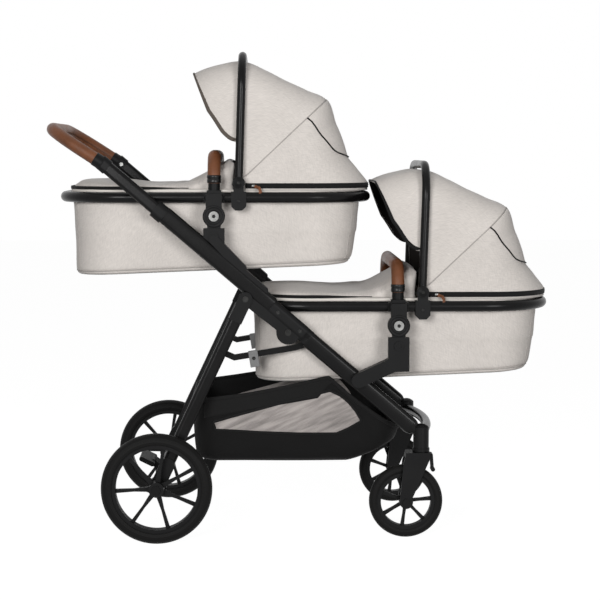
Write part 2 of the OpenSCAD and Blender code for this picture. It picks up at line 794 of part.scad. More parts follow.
// Tub: outlines from the floor up the outside to the hem, then down the lining.
tub_top = rim_r + 2.5;
tub_foot_x = -352;
tub_head_x = 365;
tub_y = 189;
seat_x = rim_x - rim_r - seat_gap;
seat_y = rim_y - rim_r - seat_gap;
seat_corner = rim_corner - rim_r - seat_gap;
function tub_floor(x, lift) = lift - tub_head_depth
    - (tub_foot_depth - tub_head_depth) * (tub_head_x - x) / (tub_head_x - tub_foot_x);
function tub_ring(foot, head, y, r, z) = [for (p = oblong(foot, head, y, r)) [p[0], p[1], z]];
function floor_ring(foot, head, y, r, lift) =
    [for (p = oblong(foot, head, y, r)) [p[0], p[1], tub_floor(p[0], lift)]];
module cot_tub() {
    w = tub_wall;
    color(CLOTH) skin([
        floor_ring(tub_foot_x + 16, tub_head_x - 46, tub_y - 26, 96, 0),
        floor_ring(tub_foot_x + 3, tub_head_x - 31, tub_y - 13, 110, 12),
        tub_ring(tub_foot_x, tub_head_x - 10, tub_y - 2, 116, -90),
        tub_ring(tub_foot_x, tub_head_x, tub_y, 120, -24),
        tub_ring(-seat_x, seat_x, seat_y, seat_corner, 0),
        tub_ring(-seat_x + 1, seat_x - 1, seat_y - 1, seat_corner - 1, tub_top),
        tub_ring(-seat_x + 6, seat_x - 6, seat_y - 6, seat_corner - 6, tub_top),
        tub_ring(tub_foot_x + w, tub_head_x - w, tub_y - w, 114, -24),
        tub_ring(tub_foot_x + w, tub_head_x - 10 - w, tub_y - 2 - w, 110, -90),
        floor_ring(tub_foot_x + 3 + w, tub_head_x - 31 - w, tub_y - 13 - w, 104, 12 + w),
        floor_ring(tub_foot_x + 18 + w, tub_head_x - 48 - w, tub_y - 28 - w, 90, w)
    ]);
}

// Mattress with a crown and sides that draw in towards its piped edges
module cot_mattress() {
    gap = tub_wall + seat_gap;
    foot = tub_foot_x + 22;
    head = tub_head_x - 60;
    y = tub_y - 36;
    t = mattress_t;
    color(LINING) skin([
        floor_ring(foot + 24, head - 24, y - 24, 66, gap),
        floor_ring(foot + 6, head - 6, y - 6, 84, gap + 2),
        floor_ring(foot, head, y, 90, gap + 8),
        floor_ring(foot + 4, head - 4, y - 4, 86, gap + t / 2),
        floor_ring(foot, head, y, 90, gap + t - 8),
        floor_ring(foot + 10, head - 10, y - 10, 80, gap + t - 2),
        floor_ring(foot + 60, head - 60, y - 60, 50, gap + t + 4),
        floor_ring(foot + 120, head - 120, y - 110, 30, gap + t + 6)
    ]);
}

// Apron: a padded cover over the foot, whose upper edge rises as a wind flap.
flap_x = -78;
flap_end = 46;
flap_rise = 62;
flap_y = 180;
function apron_half(x) = let (r = seat_corner, c = -seat_x + r)
    x < c ? seat_y - r + sqrt(max(0, r * r - (c - x) * (c - x))) : seat_y;
function apron_low(x) = tub_top + seat_gap
    + (x > flap_x ? flap_rise * pow((x - flap_x) / (flap_end - flap_x), 1.2) : 0);
function apron_w(x) = x < flap_x ? apron_half(x)
    : seat_y - (seat_y - flap_y) * min(1, (x - flap_x) / 30);
function apron_crown(x) = x > flap_x ? 3 : 17 - 7 * pow((x + 250) / 172, 2) * (x > -250 ? 1 : 0.4);
function apron_ring(x) =
    let (w = apron_w(x), low = apron_low(x), crown = apron_crown(x), n = 9, edge = 7)
    concat([[x, -w, low], [x, -w, low + edge]],
        [for (i = [1 : n - 1]) let (v = -1 + 2 * i / n)
            [x, v * w, low + edge + crown * (1 - pow(abs(v), 2.6))]],
        [[x, w, low + edge], [x, w, low]]);
module cot_apron() {
    start = -seat_x + 2;
    bend = start + 130;
    stations = concat([for (i = [0 : 7]) start + (bend - start) * pow(i / 7, 2)],
        [for (i = [1 : 4]) bend + (flap_x - bend) * i / 4],
        [for (i = [1 : 6]) flap_x + (flap_end - flap_x) * i / 6]);
    color(CLOTH) skin([for (x = stations) reversed(apron_ring(x))]);
}

// Hood: arches that fan about the pivot, from the hem on the rim round to the visor's edge.
// Each station is [angle, reach, half width, corner radius, start of the sides].
hoop_angle = 43.3;
hood_y = rim_y - 12;
hood_stations = [
    [0, 334, hood_y, 150, 13], [7, 306, hood_y, 132, 13], [15, 286, hood_y - 1, 118, 13],
    [30, 289, hood_y - 2, 104, 13], [hoop_angle, 308, hood_y - 1, 94, 13],
    [54, 292, hood_y - 4, 90, 13], [65, 286, hood_y - 4, 86, 13], [76, 293, hood_y - 2, 84, 13],
    [86, 306, hood_y, 80, 13], [90, 308, hood_y, 80, 100], [99, 304, hood_y - 1, 84, 106],
    [107, 302, hood_y - 2, 88, 128], [113, 300, hood_y - 6, 92, 196]
];
function arch_pts(reach, half, r, from, steps) = concat(
    [[from, -half]],
    [for (i = [0 : steps]) let (a = 90 * i / steps) [reach - r + r * sin(a), -half + r - r * cos(a)]],
    [for (i = [0 : steps]) let (a = 90 * i / steps) [reach - r + r * cos(a), half - r + r * sin(a)]],
    [[from, half]]);
function hood_ring(st, drop) =
    let (outer = arch_pts(st[1], st[2], st[3], st[4], 5),
        inner = arch_pts(st[1] - cloth_t, st[2] - cloth_t, st[3] - cloth_t, st[4], 5))
    [for (p = concat(outer, reversed(inner)))
        [hood_x + p[0] * cos(st[0]), p[1], hood_z + p[0] * sin(st[0]) - drop]];
module cot_hood() {
    drop = hood_z - tub_top - seat_gap;
    rings = concat([hood_ring(hood_stations[0], drop)], [for (st = hood_stations) hood_ring(st, 0)]);
    color(CLOTH) skin(rings);
}

// Fittings on the rim at the cot's middle: clamp, bumper socket, disc housing and tongue.
clamp_x = 26;
// Clips on the rim are open on their inner side, short of the tub.
clip_y = rim_r - 2;
bumper_y = rim_y - 4;
peg_r = 8;
collar_top = 36;
disc_r = 28;
disc_z = -46;
disc_y0 = adapter_y - 11;
disc_y1 = adapter_y + 9;
release_r = 12.5;
module cot_adapters() {
    neck = 20;
    color(PLASTIC) both_sides() difference() {
        union() {
            plate(-disc_y0 - 1, -rim_y + clip_y) {
                translate([-clamp_x, -12]) square([2 * clamp_x, 24]);
                translate([-clamp_x + 8, -20]) square([2 * clamp_x - 16, 38]);
            }
            translate([0, -bumper_y, tub_top + seat_gap])
                cylinder(r = bumper_r - 1.5, h = collar_top - tub_top - seat_gap);
            plate(-disc_y1, -disc_y0) {
                translate([0, disc_z]) circle(disc_r);
                translate([-neck, disc_z]) square([2 * neck, -disc_z + 10]);
            }
            at([0, 0], -adapter_y) translate([-tongue_w / 2, -tongue_t / 2, tongue_low])
                cube([tongue_w, tongue_t, disc_z - tongue_low]);
        }
        translate([-60, -rim_y, 0]) rotate([0, 90, 0]) cylinder(r = rim_r, h = 120);
        translate([0, -bumper_y, rim_r + 1]) cylinder(r = peg_r + run_gap, h = 60);
        across([0, disc_z], -disc_y1 - 1) cylinder(r = release_r + slide_gap, h = 11);
    }
}

// Silver button in the disc that frees the cot
module cot_release(side) {
    color(STEEL) mirror([0, side > 0 ? 1 : 0, 0]) across([0, disc_z], -disc_y1 - 1.5) difference() {
        cylinder(r = release_r, h = 6.5);
        translate([0, 0, -1]) cylinder(r = 4.5, h = 4);
    }
}

// Leather bumper bar with a peg at each end
module cot_bumper() {
    color(LEATHER) {
        arch(bumper_y, collar_top + 0.3, bumper_z, bumper_bend, bumper_r);
        both_sides() translate([0, -bumper_y, rim_r + 2]) cylinder(r = peg_r, h = collar_top - rim_r);
    }
}

// Hood hinges: a block clamped on the rim, an ear outside the bow and the pivot pin.
ear_y0 = rim_y + 11;
ear_t = 7;
hood_pin_r = 4;
hoop_r = 4;
hoop_y = hood_y - cloth_t - hoop_r - 4;
module cot_hood_hinges() {
    half = 19;
    low = -32;
    color(PLASTIC) translate([hood_x, 0, 0]) both_sides() difference() {
        union() {
            plate(-ear_y0 - ear_t, -rim_y + clip_y) polygon([[-half, 15], [half, 15], [half, low + 10],
                [half - 10, low], [-half + 10, low], [-half, low + 10]]);
            plate(-ear_y0 - ear_t, -ear_y0) {
                translate([0, hood_z]) circle(16);
                translate([-13, 0]) square([26, hood_z]);
            }
            across([0, hood_z], -ear_y0 - 1) cylinder(r = hood_pin_r, h = ear_y0 + 1 - hoop_y + hoop_r + 1);
        }
        translate([-60, -rim_y, 0]) rotate([0, 90, 0]) cylinder(r = rim_r, h = 120);
    }
}

// Bow that carries the hood, with an eye at each foot
module cot_bow() {
    lean = 1.8;
    eye_r = 14;
    color(FRAME) translate([hood_x, 0, hood_z]) rotate([0, lean, 0]) difference() {
        union() {
            arch(rim_y, 0, bow_reach, bow_corner, bow_r);
            both_sides() across([0, 0], -ear_y0 + seat_gap) cylinder(r = eye_r, h = 18);
        }
        both_sides() across([0, 0], -ear_y0 - 10) cylinder(r = hood_pin_r + run_gap, h = 60);
    }
}

// Inner hoop under the hood's slanting seam
module cot_hoop() {
    reach = 308 - cloth_t - hoop_r - 1;
    eye_r = 8;
    color(FRAME) translate([hood_x, 0, hood_z]) rotate([0, 90 - hoop_angle, 0]) difference() {
        union() {
            arch(hoop_y, 0, reach, 88, hoop_r);
            both_sides() across([0, 0], -hoop_y - 5) cylinder(r = eye_r, h = 10);
        }
        both_sides() across([0, 0], -hoop_y - 20) cylinder(r = hood_pin_r + run_gap, h = 60);
    }
}

module upper_rim() { upper_cot() cot_rim(); }
module upper_tub() { upper_cot() cot_tub(); }
module upper_mattress() { upper_cot() cot_mattress(); }
module upper_apron() { upper_cot() cot_apron(); }
module upper_hood() { upper_cot() cot_hood(); }
module upper_adapters() { upper_cot() cot_adapters(); }
module upper_hood_hinges() { upper_cot() cot_hood_hinges(); }
module upper_bow() { upper_cot() cot_bow(); }
module upper_hoop() { upper_cot() cot_hoop(); }
module upper_bumper() { upper_cot() cot_bumper(); }
module upper_release_left() { upper_cot() cot_release(1); }
module upper_release_right() { upper_cot() cot_release(-1); }
module lower_rim() { lower_cot() cot_rim(); }
module lower_tub() { lower_cot() cot_tub(); }
module lower_mattress() { lower_cot() cot_mattress(); }
module lower_apron() { lower_cot() cot_apron(); }
module lower_hood() { lower_cot() cot_hood(); }
module lower_adapters() { lower_cot() cot_adapters(); }
module lower_hood_hinges() { lower_cot() cot_hood_hinges(); }
module lower_bow() { lower_cot() cot_bow(); }
module lower_hoop() { lower_cot() cot_hoop(); }
module lower_bumper() { lower_cot() cot_bumper(); }
module lower_release_left() { lower_cot() cot_release(1); }
module lower_release_right() { lower_cot() cot_release(-1); }

upper_tubes();
tube_collars();
fold_castings();
upper_brackets();
pivot_pins();
frame_screws();
handle_tubes();
handle_grip();
handle_collars();
handle_button_left();
handle_button_right();
front_legs();
front_knuckles();
front_crossbar();
caster_housings();
lower_brackets();
caster_fork_left();
caster_fork_right();
swivel_lock_left();
swivel_lock_right();
front_rim_left();
front_rim_right();
front_tyre_left();
front_tyre_right();
rear_legs();
rear_leg_caps();
rear_axle();
axle_housings();
basket();
rear_rim_left();
rear_rim_right();
rear_tyre_left();
rear_tyre_right();
brake_pedal();
stay_bars();
fold_strap();
upper_rim();
upper_tub();
upper_mattress();
upper_apron();
upper_hood();
upper_adapters();
upper_hood_hinges();
upper_bow();
upper_hoop();
upper_bumper();
upper_release_left();
upper_release_right();
lower_rim();
lower_tub();
lower_mattress();
lower_apron();
lower_hood();
lower_adapters();
lower_hood_hinges();
lower_bow();
lower_hoop();
lower_bumper();
lower_release_left();
lower_release_right();
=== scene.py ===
"""Looks of a folding twin pram: cloth, leather, finishes, small trim and the studio stage."""

import math

import bmesh
import bpy
import numpy as np
from bpy.props import FloatProperty, FloatVectorProperty, IntProperty, PointerProperty
from bpy.types import Operator, Panel, PropertyGroup
from mathutils import Matrix, Vector


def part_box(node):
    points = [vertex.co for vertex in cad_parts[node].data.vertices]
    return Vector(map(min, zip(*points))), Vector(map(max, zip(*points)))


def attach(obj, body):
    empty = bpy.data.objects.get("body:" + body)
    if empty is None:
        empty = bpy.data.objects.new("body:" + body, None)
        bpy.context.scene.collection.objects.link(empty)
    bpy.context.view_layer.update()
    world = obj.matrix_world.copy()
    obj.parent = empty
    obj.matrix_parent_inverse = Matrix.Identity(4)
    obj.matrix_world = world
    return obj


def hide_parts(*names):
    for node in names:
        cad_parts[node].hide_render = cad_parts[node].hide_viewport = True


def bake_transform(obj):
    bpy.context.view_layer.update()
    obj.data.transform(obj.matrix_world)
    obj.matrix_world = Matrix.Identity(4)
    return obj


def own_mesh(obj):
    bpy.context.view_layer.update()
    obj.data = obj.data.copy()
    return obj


bl_info = {
    "name": "Twin Pram Looks",
    "version": (1, 0, 0),
    "blender": (4, 5, 0),
    "location": "3D View > Sidebar > Pram",
    "description": "Dresses the folding twin pram in cloth, leather, finishes and trim",
    "category": "Object",
}

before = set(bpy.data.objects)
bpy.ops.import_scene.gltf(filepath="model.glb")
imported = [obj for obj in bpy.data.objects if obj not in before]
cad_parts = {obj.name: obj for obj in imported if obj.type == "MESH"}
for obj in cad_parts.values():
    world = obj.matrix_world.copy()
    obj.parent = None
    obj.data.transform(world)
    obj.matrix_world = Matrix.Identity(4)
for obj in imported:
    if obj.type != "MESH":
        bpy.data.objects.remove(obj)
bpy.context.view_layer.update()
MM = 0.001
UP = (0, 0, 1)
COTS = ("upper", "lower")


def node_middle(name):
    """Middle of a node's box, in millimetres."""
    low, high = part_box(name)
    return np.array((low + high) / 2) / MM


def cot_middle(cot):
    """Middle of a cot on its rim's axis, in millimetres, from the rim's own box."""
    return node_middle(cot + "_rim") * (1, 0, 1)


# Places along the pram are measured from the rear axle, in millimetres
AXLE_X = node_middle("rear_tyre_left")[0]
# Sizes of the cots that the cloth follows, in millimetres about the cot's middle
SEAT_X = 375.7
SEAT_Y = 197.2
SEAT_CORNER = 151.2
TUB_TOP = 16.0
TUB_FOOT = -363.7
TUB_HEAD = 370.0
TUB_Y = 189.0
PIVOT = (62.0, 37.0)
HOOD_Y = 199.0
HOOP_ANGLE = 43.3
VISOR_ANGLE = 113.0
# Hood arches: angle, reach, half width, corner radius, start of the sides
HOOD_ARCHES = np.array(
    [
        [0, 334, 0, 150, 13],
        [7, 306, 0, 132, 13],
        [15, 286, -1, 118, 13],
        [30, 289, -2, 104, 13],
        [HOOP_ANGLE, 308, -1, 94, 13],
        [54, 292, -4, 90, 13],
        [65, 286, -4, 86, 13],
        [76, 293, -2, 84, 13],
        [86, 306, 0, 80, 13],
        [90, 308, 0, 80, 100],
        [99, 304, -1, 84, 106],
        [107, 302, -2, 88, 128],
        [VISOR_ANGLE, 300, -6, 92, 196],
    ],
    float,
)


def length(name, text, default):
    """A length property, in metres."""
    return FloatProperty(name=name, description=text, default=default, unit="LENGTH")


class PramSizes(PropertyGroup):
    """Sizes of the cloth, trim and camera that a user would change."""

    band_height: length("Zip Band Height", "Height of the black band along the hood's base", 0.0135)
    pucker: length("Pucker", "Depth of the soft puckers under the tub's rim", 0.0022)
    welt: length("Seam Welt", "Radius of the sewn welts on the hood and tub", 0.0011)
    stitch_pitch: length("Stitch Pitch", "Distance from one leather stitch to the next", 0.0046)
    weave: length("Weave", "Distance from one thread of the cloth to the next", 0.0013)
    pad_voxel: length("Pad Voxel", "Mesh size of the padded pieces while they swell", 0.006)
    pad_frames: IntProperty(
        name="Pad Frames", description="Frames for which the padded pieces swell", default=20, min=2
    )
    lens: FloatProperty(name="Lens", description="Focal length of the camera in millimetres", default=99.85, min=20)


def colour(name, text, default):
    """A colour property whose default is given in linear red, green and blue."""
    return FloatVectorProperty(
        name=name, description=text, subtype="COLOR", default=default, min=0, max=1
    )


class PramColours(PropertyGroup):
    """Colours of the pram's finishes, in linear light."""

    cloth: colour("Cloth", "Warm light grey of the melange cloth", (0.68, 0.635, 0.595))
    lining: colour("Lining", "Pale cotton lining of the cots", (0.72, 0.68, 0.63))
    # Shade: near black painted shade for the inside of the hoods, darker than their lining's own colour
    shade: colour("Shade", "Dark lining under the hoods", (0.014, 0.012, 0.011))
    braid: colour("Visor Tape", "Brown grey tape of the upper hood's visor", (0.105, 0.088, 0.074))
    binding: colour("Binding", "Black tape of bands and bindings", (0.0045, 0.0044, 0.0044))
    leather: colour("Leather", "Brown leather of the grip and bumper bars", (0.165, 0.06, 0.0255))
    satin: colour("Satin Black", "Powder coat of the tubes", (0.0045, 0.0044, 0.0045))
    plastic: colour("Plastic", "Dark grey of the moulded fittings", (0.006, 0.006, 0.0062))
    rubber: colour("Rubber", "Black of the tyres", (0.004, 0.0039, 0.0038))
    steel: colour("Steel", "Bright metal of buttons and pins", (0.21, 0.21, 0.205))
    net: colour("Net", "Grey net windows of the basket", (0.325, 0.295, 0.28))
    webbing: colour("Webbing", "Grey webbing loops", (0.21, 0.21, 0.21))


def pchip(x, xs, ys):
    """Monotone cubic through the knots: Hermite pieces whose slopes are harmonic means of the chords' slopes."""
    x, xs, ys = np.asarray(x, float), np.asarray(xs, float), np.asarray(ys, float)
    h = np.diff(xs)
    d = np.diff(ys) / h
    m = np.concatenate([[d[0]], np.zeros(len(d) - 1), [d[-1]]])
    w1, w2 = 2 * h[1:] + h[:-1], h[1:] + 2 * h[:-1]
    same = d[:-1] * d[1:] > 0
    left, right = np.where(same, d[:-1], 1), np.where(same, d[1:], 1)
    m[1:-1] = np.where(same, (w1 + w2) / (w1 / left + w2 / right), 0)
    i = np.clip(np.searchsorted(xs, x, side="right") - 1, 0, len(h) - 1)
    t = np.clip((x - xs[i]) / h[i], 0, 1)
    a, b = 2 * t**3 - 3 * t**2 + 1, t**3 - 2 * t**2 + t
    return a * ys[i] + b * h[i] * m[i] + (1 - a) * ys[i + 1] + (t**3 - t**2) * h[i] * m[i + 1]


def bump_at(x, middle, width):
    """Bell curve of height one at middle."""
    return np.exp(-(((x - middle) / width) ** 2))


def unit(v):
    """Vectors brought to a length of one."""
    return v / np.linalg.norm(v, axis=-1, keepdims=True)


def lengths(points, axis=0):
    """Distance covered along an axis of a point array, from zero."""
    step = np.linalg.norm(np.diff(points, axis=axis), axis=-1)
    start = np.zeros_like(np.take(step, [0], axis=axis))
    return np.concatenate([start, np.cumsum(step, axis=axis)], axis=axis)


def resampled(path, count):
    """Path with count points at even distances."""
    s = lengths(path)
    t = np.linspace(0, s[-1], count)
    return np.stack([np.interp(t, s, path[:, k]) for k in range(path.shape[1])], -1)


def rounded(corners, radii, steps):
    """Path through corner points with a circular arc of the given radius at each inner corner."""
    corners = np.asarray(corners, float)
    parts = [corners[:1]]
    for p, q, r, radius in zip(corners[:-2], corners[1:-1], corners[2:], radii):
        a, b = unit(p - q), unit(r - q)
        half = np.arccos(np.clip(a @ b, -1, 1)) / 2
        middle = q + unit(a + b) * radius / np.sin(half)
        e1, e2 = q + a * radius / np.tan(half) - middle, -a * radius
        turn = np.linspace(0, np.pi - 2 * half, steps)[:, None]
        parts.append(middle + e1 * np.cos(turn) + e2 * np.sin(turn))
    return np.concatenate(parts + [corners[-1:]])


def oblong(x0, x1, half, corner, count):
    """Outline of a rectangle with round corners from the middle of its foot, by the right side, head and left side.

    Each of x0, x1, half and corner is an array of rows; the result is rows by count by 2.
    """
    x0, x1, half, corner = (np.asarray(v, float)[:, None] for v in (x0, x1, half, corner))
    end, arc, side = half - corner, corner * np.pi / 2, x1 - x0 - 2 * corner
    total = 2 * end + 2 * arc + side
    s = np.linspace(0, 2, count)[None, :] * total
    low = np.where(s > total, 2 * total - s, s)
    a = np.clip((low - end) / np.maximum(corner, 1e-9), 0, np.pi / 2)
    along = np.clip(low - end - arc, 0, side)
    c = np.clip((low - end - arc - side) / np.maximum(corner, 1e-9), 0, np.pi / 2)
    last = np.clip(low - end - 2 * arc - side, 0, end)
    x = x0 + corner * (1 - np.cos(a)) + along + corner * np.sin(c)
    y = -np.minimum(low, end) - corner * np.sin(a) + corner * (1 - np.cos(c)) + last
    return np.stack([x, np.where(s > total, -y, y)], -1)


def sweep(path, profile, normal):
    """Profile carried along a path: its first axis lies along normal and its second across path and normal."""
    path = np.asarray(path, float)
    tangent = unit(np.gradient(path, axis=0))
    normal = np.broadcast_to(np.asarray(normal, float), path.shape)
    e1 = unit(normal - (normal * tangent).sum(1)[:, None] * tangent)
    e2 = np.cross(tangent, e1)
    profile = np.asarray(profile, float)
    return path[:, None] + profile[None, :, :1] * e1[:, None] + profile[None, :, 1:] * e2[:, None]


def ring(a, b, count, power=1.0):
    """Closed oval of half sizes a and b; a power below one squares its corners."""
    t = np.linspace(0, 2 * np.pi, count + 1)
    c, s = np.cos(t), np.sin(t)
    return np.stack([a * np.sign(c) * np.abs(c) ** power, b * np.sign(s) * np.abs(s) ** power], -1)


def capped(grid):
    """Grid of closed rings with both ends drawn to the middles of their rings."""
    ends = [np.repeat(grid[[k], :-1].mean(1, keepdims=True), grid.shape[1], 1) for k in (0, -1)]
    return np.concatenate([ends[0], grid, ends[1]])


def lathe(profile, count):
    """Profile of radius and height turned about Z, as a grid of rings."""
    t = np.linspace(0, 2 * np.pi, count + 1)
    r, z = np.asarray(profile, float).T
    r, z = r[:, None], z[:, None]
    return np.stack([r * np.cos(t), r * np.sin(t), z + 0 * t], -1)


def at_height(flat, z):
    """Plan points lifted to a height or to heights of their own."""
    z = np.broadcast_to(np.asarray(z, float), flat.shape[:-1])
    return np.concatenate([flat, z[..., None]], -1)


def looped(path, profile, normal=UP):
    """Profile carried round a closed path."""
    return sweep(np.concatenate([path, path[1:2]]), profile, normal)[:-1]


def scaled(path, grid, share):
    """Grid of rings about a path, each drawn towards the path to a share of its size."""
    return path[:, None] + (grid - path[:, None]) * share[:, None, None]


def sheet_size(grid):
    """Longest sides and mean area of a grid laid flat, in metres."""
    along, across = lengths(grid, 1)[:, -1] * MM, lengths(grid, 0)[-1] * MM
    return (along.max(), across.max()), along.mean() * across.mean()


def surface(name, grids, middle=None, finish=(), rows=None):
    """Mesh object from one or more grids of points in millimetres, with UV in metres along both directions.

    A closed shape has its normals recalculated. An open sheet is turned so that it faces away from middle.
    rows gives the material index of each row of faces of the first grid.
    """
    grids = grids if isinstance(grids, (list, tuple)) else [grids]
    verts, quads, uvs, kinds, base = [], [], [], [], 0
    for k, grid in enumerate(grids):
        grid = np.asarray(grid, float) * MM
        nu, nv = grid.shape[:2]
        i = np.arange(nu * nv).reshape(nu, nv) + base
        quad = np.stack([i[:-1, :-1], i[1:, :-1], i[1:, 1:], i[:-1, 1:]], -1).reshape(-1, 4)
        if middle is not None:
            p = grid.reshape(-1, 3)[quad - base]
            n = np.cross(p[:, 2] - p[:, 0], p[:, 3] - p[:, 1])
            if (n * (p.mean(1) - np.asarray(middle) * MM)).sum() < 0:
                quad = quad[:, ::-1]
        verts.append(grid.reshape(-1, 3))
        quads.append(quad)
        uvs.append(np.stack([lengths(grid, 0), lengths(grid, 1)], -1).reshape(-1, 2))
        row = np.zeros(nu - 1, int) if rows is None or k else np.asarray(rows)
        kinds.append(np.repeat(row, nv - 1))
        base += nu * nv
    verts, quads, uvs = np.concatenate(verts), np.concatenate(quads), np.concatenate(uvs)
    mesh = bpy.data.meshes.new(name)
    mesh.vertices.add(len(verts))
    mesh.vertices.foreach_set("co", verts.astype(np.float32).ravel())
    mesh.loops.add(quads.size)
    mesh.loops.foreach_set("vertex_index", quads.astype(np.int32).ravel())
    mesh.polygons.add(len(quads))
    mesh.polygons.foreach_set("loop_start", np.arange(0, quads.size, 4, dtype=np.int32))
    mesh.polygons.foreach_set("use_smooth", np.ones(len(quads), bool))
    mesh.polygons.foreach_set("material_index", np.concatenate(kinds).astype(np.int32))
    layer = mesh.uv_layers.new(name="UVMap")
    layer.data.foreach_set("uv", uvs[quads.ravel()].astype(np.float32).ravel())
    mesh.update(calc_edges=True)
    bm = bmesh.new()
    bm.from_mesh(mesh)
    bmesh.ops.remove_doubles(bm, verts=bm.verts, dist=2e-6)
    bmesh.ops.dissolve_degenerate(bm, edges=bm.edges, dist=1e-7)
    if middle is None:
        bmesh.ops.recalc_face_normals(bm, faces=bm.faces)
    bm.to_mesh(mesh)
    bm.free()
    obj = bpy.data.objects.new(name, mesh)
    bpy.context.scene.collection.objects.link(obj)
    for look in [finish] if isinstance(finish, str) else finish:
        mesh.materials.append(FINISHES[look])
    return obj


def dress(name, grids, finish, body):
    """A surface that rides on a body, with its slot of finishes."""
    piece = surface(name, grids, finish=finish)
    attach(piece, body)
    return piece


def thickened(obj, thick, inner=0):
    """Gives a sheet a wall towards its inner side, whose faces take the next material."""
    wall = obj.modifiers.new("wall", "SOLIDIFY")
    wall.thickness = thick * MM
    wall.offset = -1
    wall.material_offset = inner
    wall.material_offset_rim = 0
    return obj


def softened(obj):
    """One subdivision, the same in the view and the render."""
    sub = obj.modifiers.new("soft", "SUBSURF")
    sub.levels = sub.render_levels = 1
    return obj


def baked(obj):
    """Turns the modifiers of an object into its mesh."""
    graph = bpy.context.evaluated_depsgraph_get()
    mesh = bpy.data.meshes.new_from_object(obj.evaluated_get(graph))
    obj.modifiers.clear()
    old, obj.data = obj.data, mesh
    bpy.data.meshes.remove(old)
    return obj


def points_of(mesh):
    """The mesh's points as an array."""
    co = np.zeros(len(mesh.vertices) * 3, np.float32)
    mesh.vertices.foreach_get("co", co)
    return co.reshape(-1, 3).astype(float)


def plan_uv(mesh):
    """UV in metres from a plan view, with height added so that sides keep their scale."""
    layer = mesh.uv_layers.get("UVMap") or mesh.uv_layers.new(name="UVMap")
    index = np.zeros(len(mesh.loops), np.int32)
    mesh.loops.foreach_get("vertex_index", index)
    co = points_of(mesh)
    flat = np.stack([co[:, 0], co[:, 1] + np.sign(co[:, 1]) * co[:, 2]], -1)
    layer.data.foreach_set("uv", flat[index].astype(np.float32).ravel())


def swell(obj, sizes, cap, pressure=4.0):
    """Fills a closed pad: voxel remesh, cloth under pressure without weight, movement capped, result kept."""
    remesh = obj.modifiers.new("even", "REMESH")
    remesh.mode = "VOXEL"
    remesh.voxel_size = sizes.pad_voxel
    baked(obj)
    rest = points_of(obj.data)
    scene = bpy.context.scene
    cloth = obj.modifiers.new("cloth", "CLOTH")
    cloth.settings.quality = 4
    cloth.settings.mass = 0.3
    cloth.settings.tension_stiffness = cloth.settings.compression_stiffness = 18
    cloth.settings.bending_stiffness = 0.6
    cloth.settings.use_pressure = True
    cloth.settings.uniform_pressure_force = pressure
    cloth.settings.effector_weights.gravity = 0
    cloth.point_cache.frame_start, cloth.point_cache.frame_end = 1, sizes.pad_frames
    for f in range(1, sizes.pad_frames + 1):
        scene.frame_set(f)
    baked(obj)
    scene.frame_set(1)
    move = points_of(obj.data) - rest
    far = np.linalg.norm(move, axis=1, keepdims=True)
    move *= np.minimum(1, cap * MM / np.maximum(far, 1e-9))
    obj.data.vertices.foreach_set("co", (rest + move).astype(np.float32).ravel())
    obj.data.polygons.foreach_set("use_smooth", np.ones(len(obj.data.polygons), bool))
    obj.data.update()
    return obj


def displaced(obj, shift):
    """Moves each point along its normal by shift(x, y, z), all in millimetres."""
    normal = np.zeros(len(obj.data.vertices) * 3, np.float32)
    obj.data.vertices.foreach_get("normal", normal)
    co = points_of(obj.data)
    far = shift(*(co.T / MM)) * MM
    co = co + normal.reshape(-1, 3) * far[:, None]
    obj.data.vertices.foreach_set("co", co.astype(np.float32).ravel())
    obj.data.update()
    return obj


def second_copy(obj, name, shift):
    """Copy of an object with its own mesh, moved by shift in millimetres."""
    other = obj.copy()
    other.data = obj.data.copy()
    other.name = other.data.name = name
    other.data.transform(Matrix.Translation(Vector(shift) * MM))
    bpy.context.scene.collection.objects.link(other)
    return other


def pad_cots(pattern, kind, node):
    """Gives each cot its copy of a padded pattern, in place of a node, and removes the pattern."""
    for cot in COTS:
        pad = softened(second_copy(pattern, cot + kind, cot_middle(cot)))
        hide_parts(cot + node)
        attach(pad, cot + "_cot")
    bpy.data.objects.remove(pattern)


# Finishes

FINISHES = {}


def shader(name):
    """Tree of a new node material, filed under its name."""
    material = FINISHES[name] = bpy.data.materials.new(name)
    material.use_nodes = True
    return material.node_tree


def put(node, inputs):
    """Gives a node its input values; an input given as a signal is linked."""
    for k, v in inputs.items():
        if isinstance(v, Signal):
            v.tree.links.new(v.socket, node.inputs[k])
        else:
            node.inputs[k].default_value = v


def add(tree, kind, inputs, out=0, **settings):
    """Output of a new node with settings and input values."""
    node = tree.nodes.new(kind)
    for k, v in settings.items():
        setattr(node, k, v)
    put(node, inputs)
    return Signal(tree, node.outputs[out])


def paint(tree, inputs):
    """Sets the inputs of a material's principled shader."""
    put(tree.nodes["Principled BSDF"], inputs)


class Signal:
    """Output of a node, on which sums and products add math nodes."""

    def __init__(self, tree, socket):
        self.tree, self.socket = tree, socket

    def by(self, operation, *others):
        """Result of a math node on this signal and others."""
        return add(self.tree, "ShaderNodeMath", dict(enumerate((self, *others))), operation=operation)

    def __add__(self, other):
        return self.by("ADD", other)

    def __mul__(self, other):
        return self.by("MULTIPLY", other)


def parts(vector):
    """The three numbers of a vector."""
    split = add(vector.tree, "ShaderNodeSeparateXYZ", {0: vector}).socket.node
    return [Signal(vector.tree, socket) for socket in split.outputs]


def coords(tree, kind="Object", scale=(1, 1, 1), location=(0, 0, 0)):
    """Scaled and moved coordinates."""
    source = add(tree, "ShaderNodeTexCoord", {}, kind)
    return add(tree, "ShaderNodeMapping", {"Vector": source, "Scale": scale, "Location": location})


def noise(vector, scale, detail=2.0, rough=0.5):
    """Noise over a vector."""
    inputs = {"Vector": vector, "Scale": scale, "Detail": detail, "Roughness": rough}
    return add(vector.tree, "ShaderNodeTexNoise", inputs)


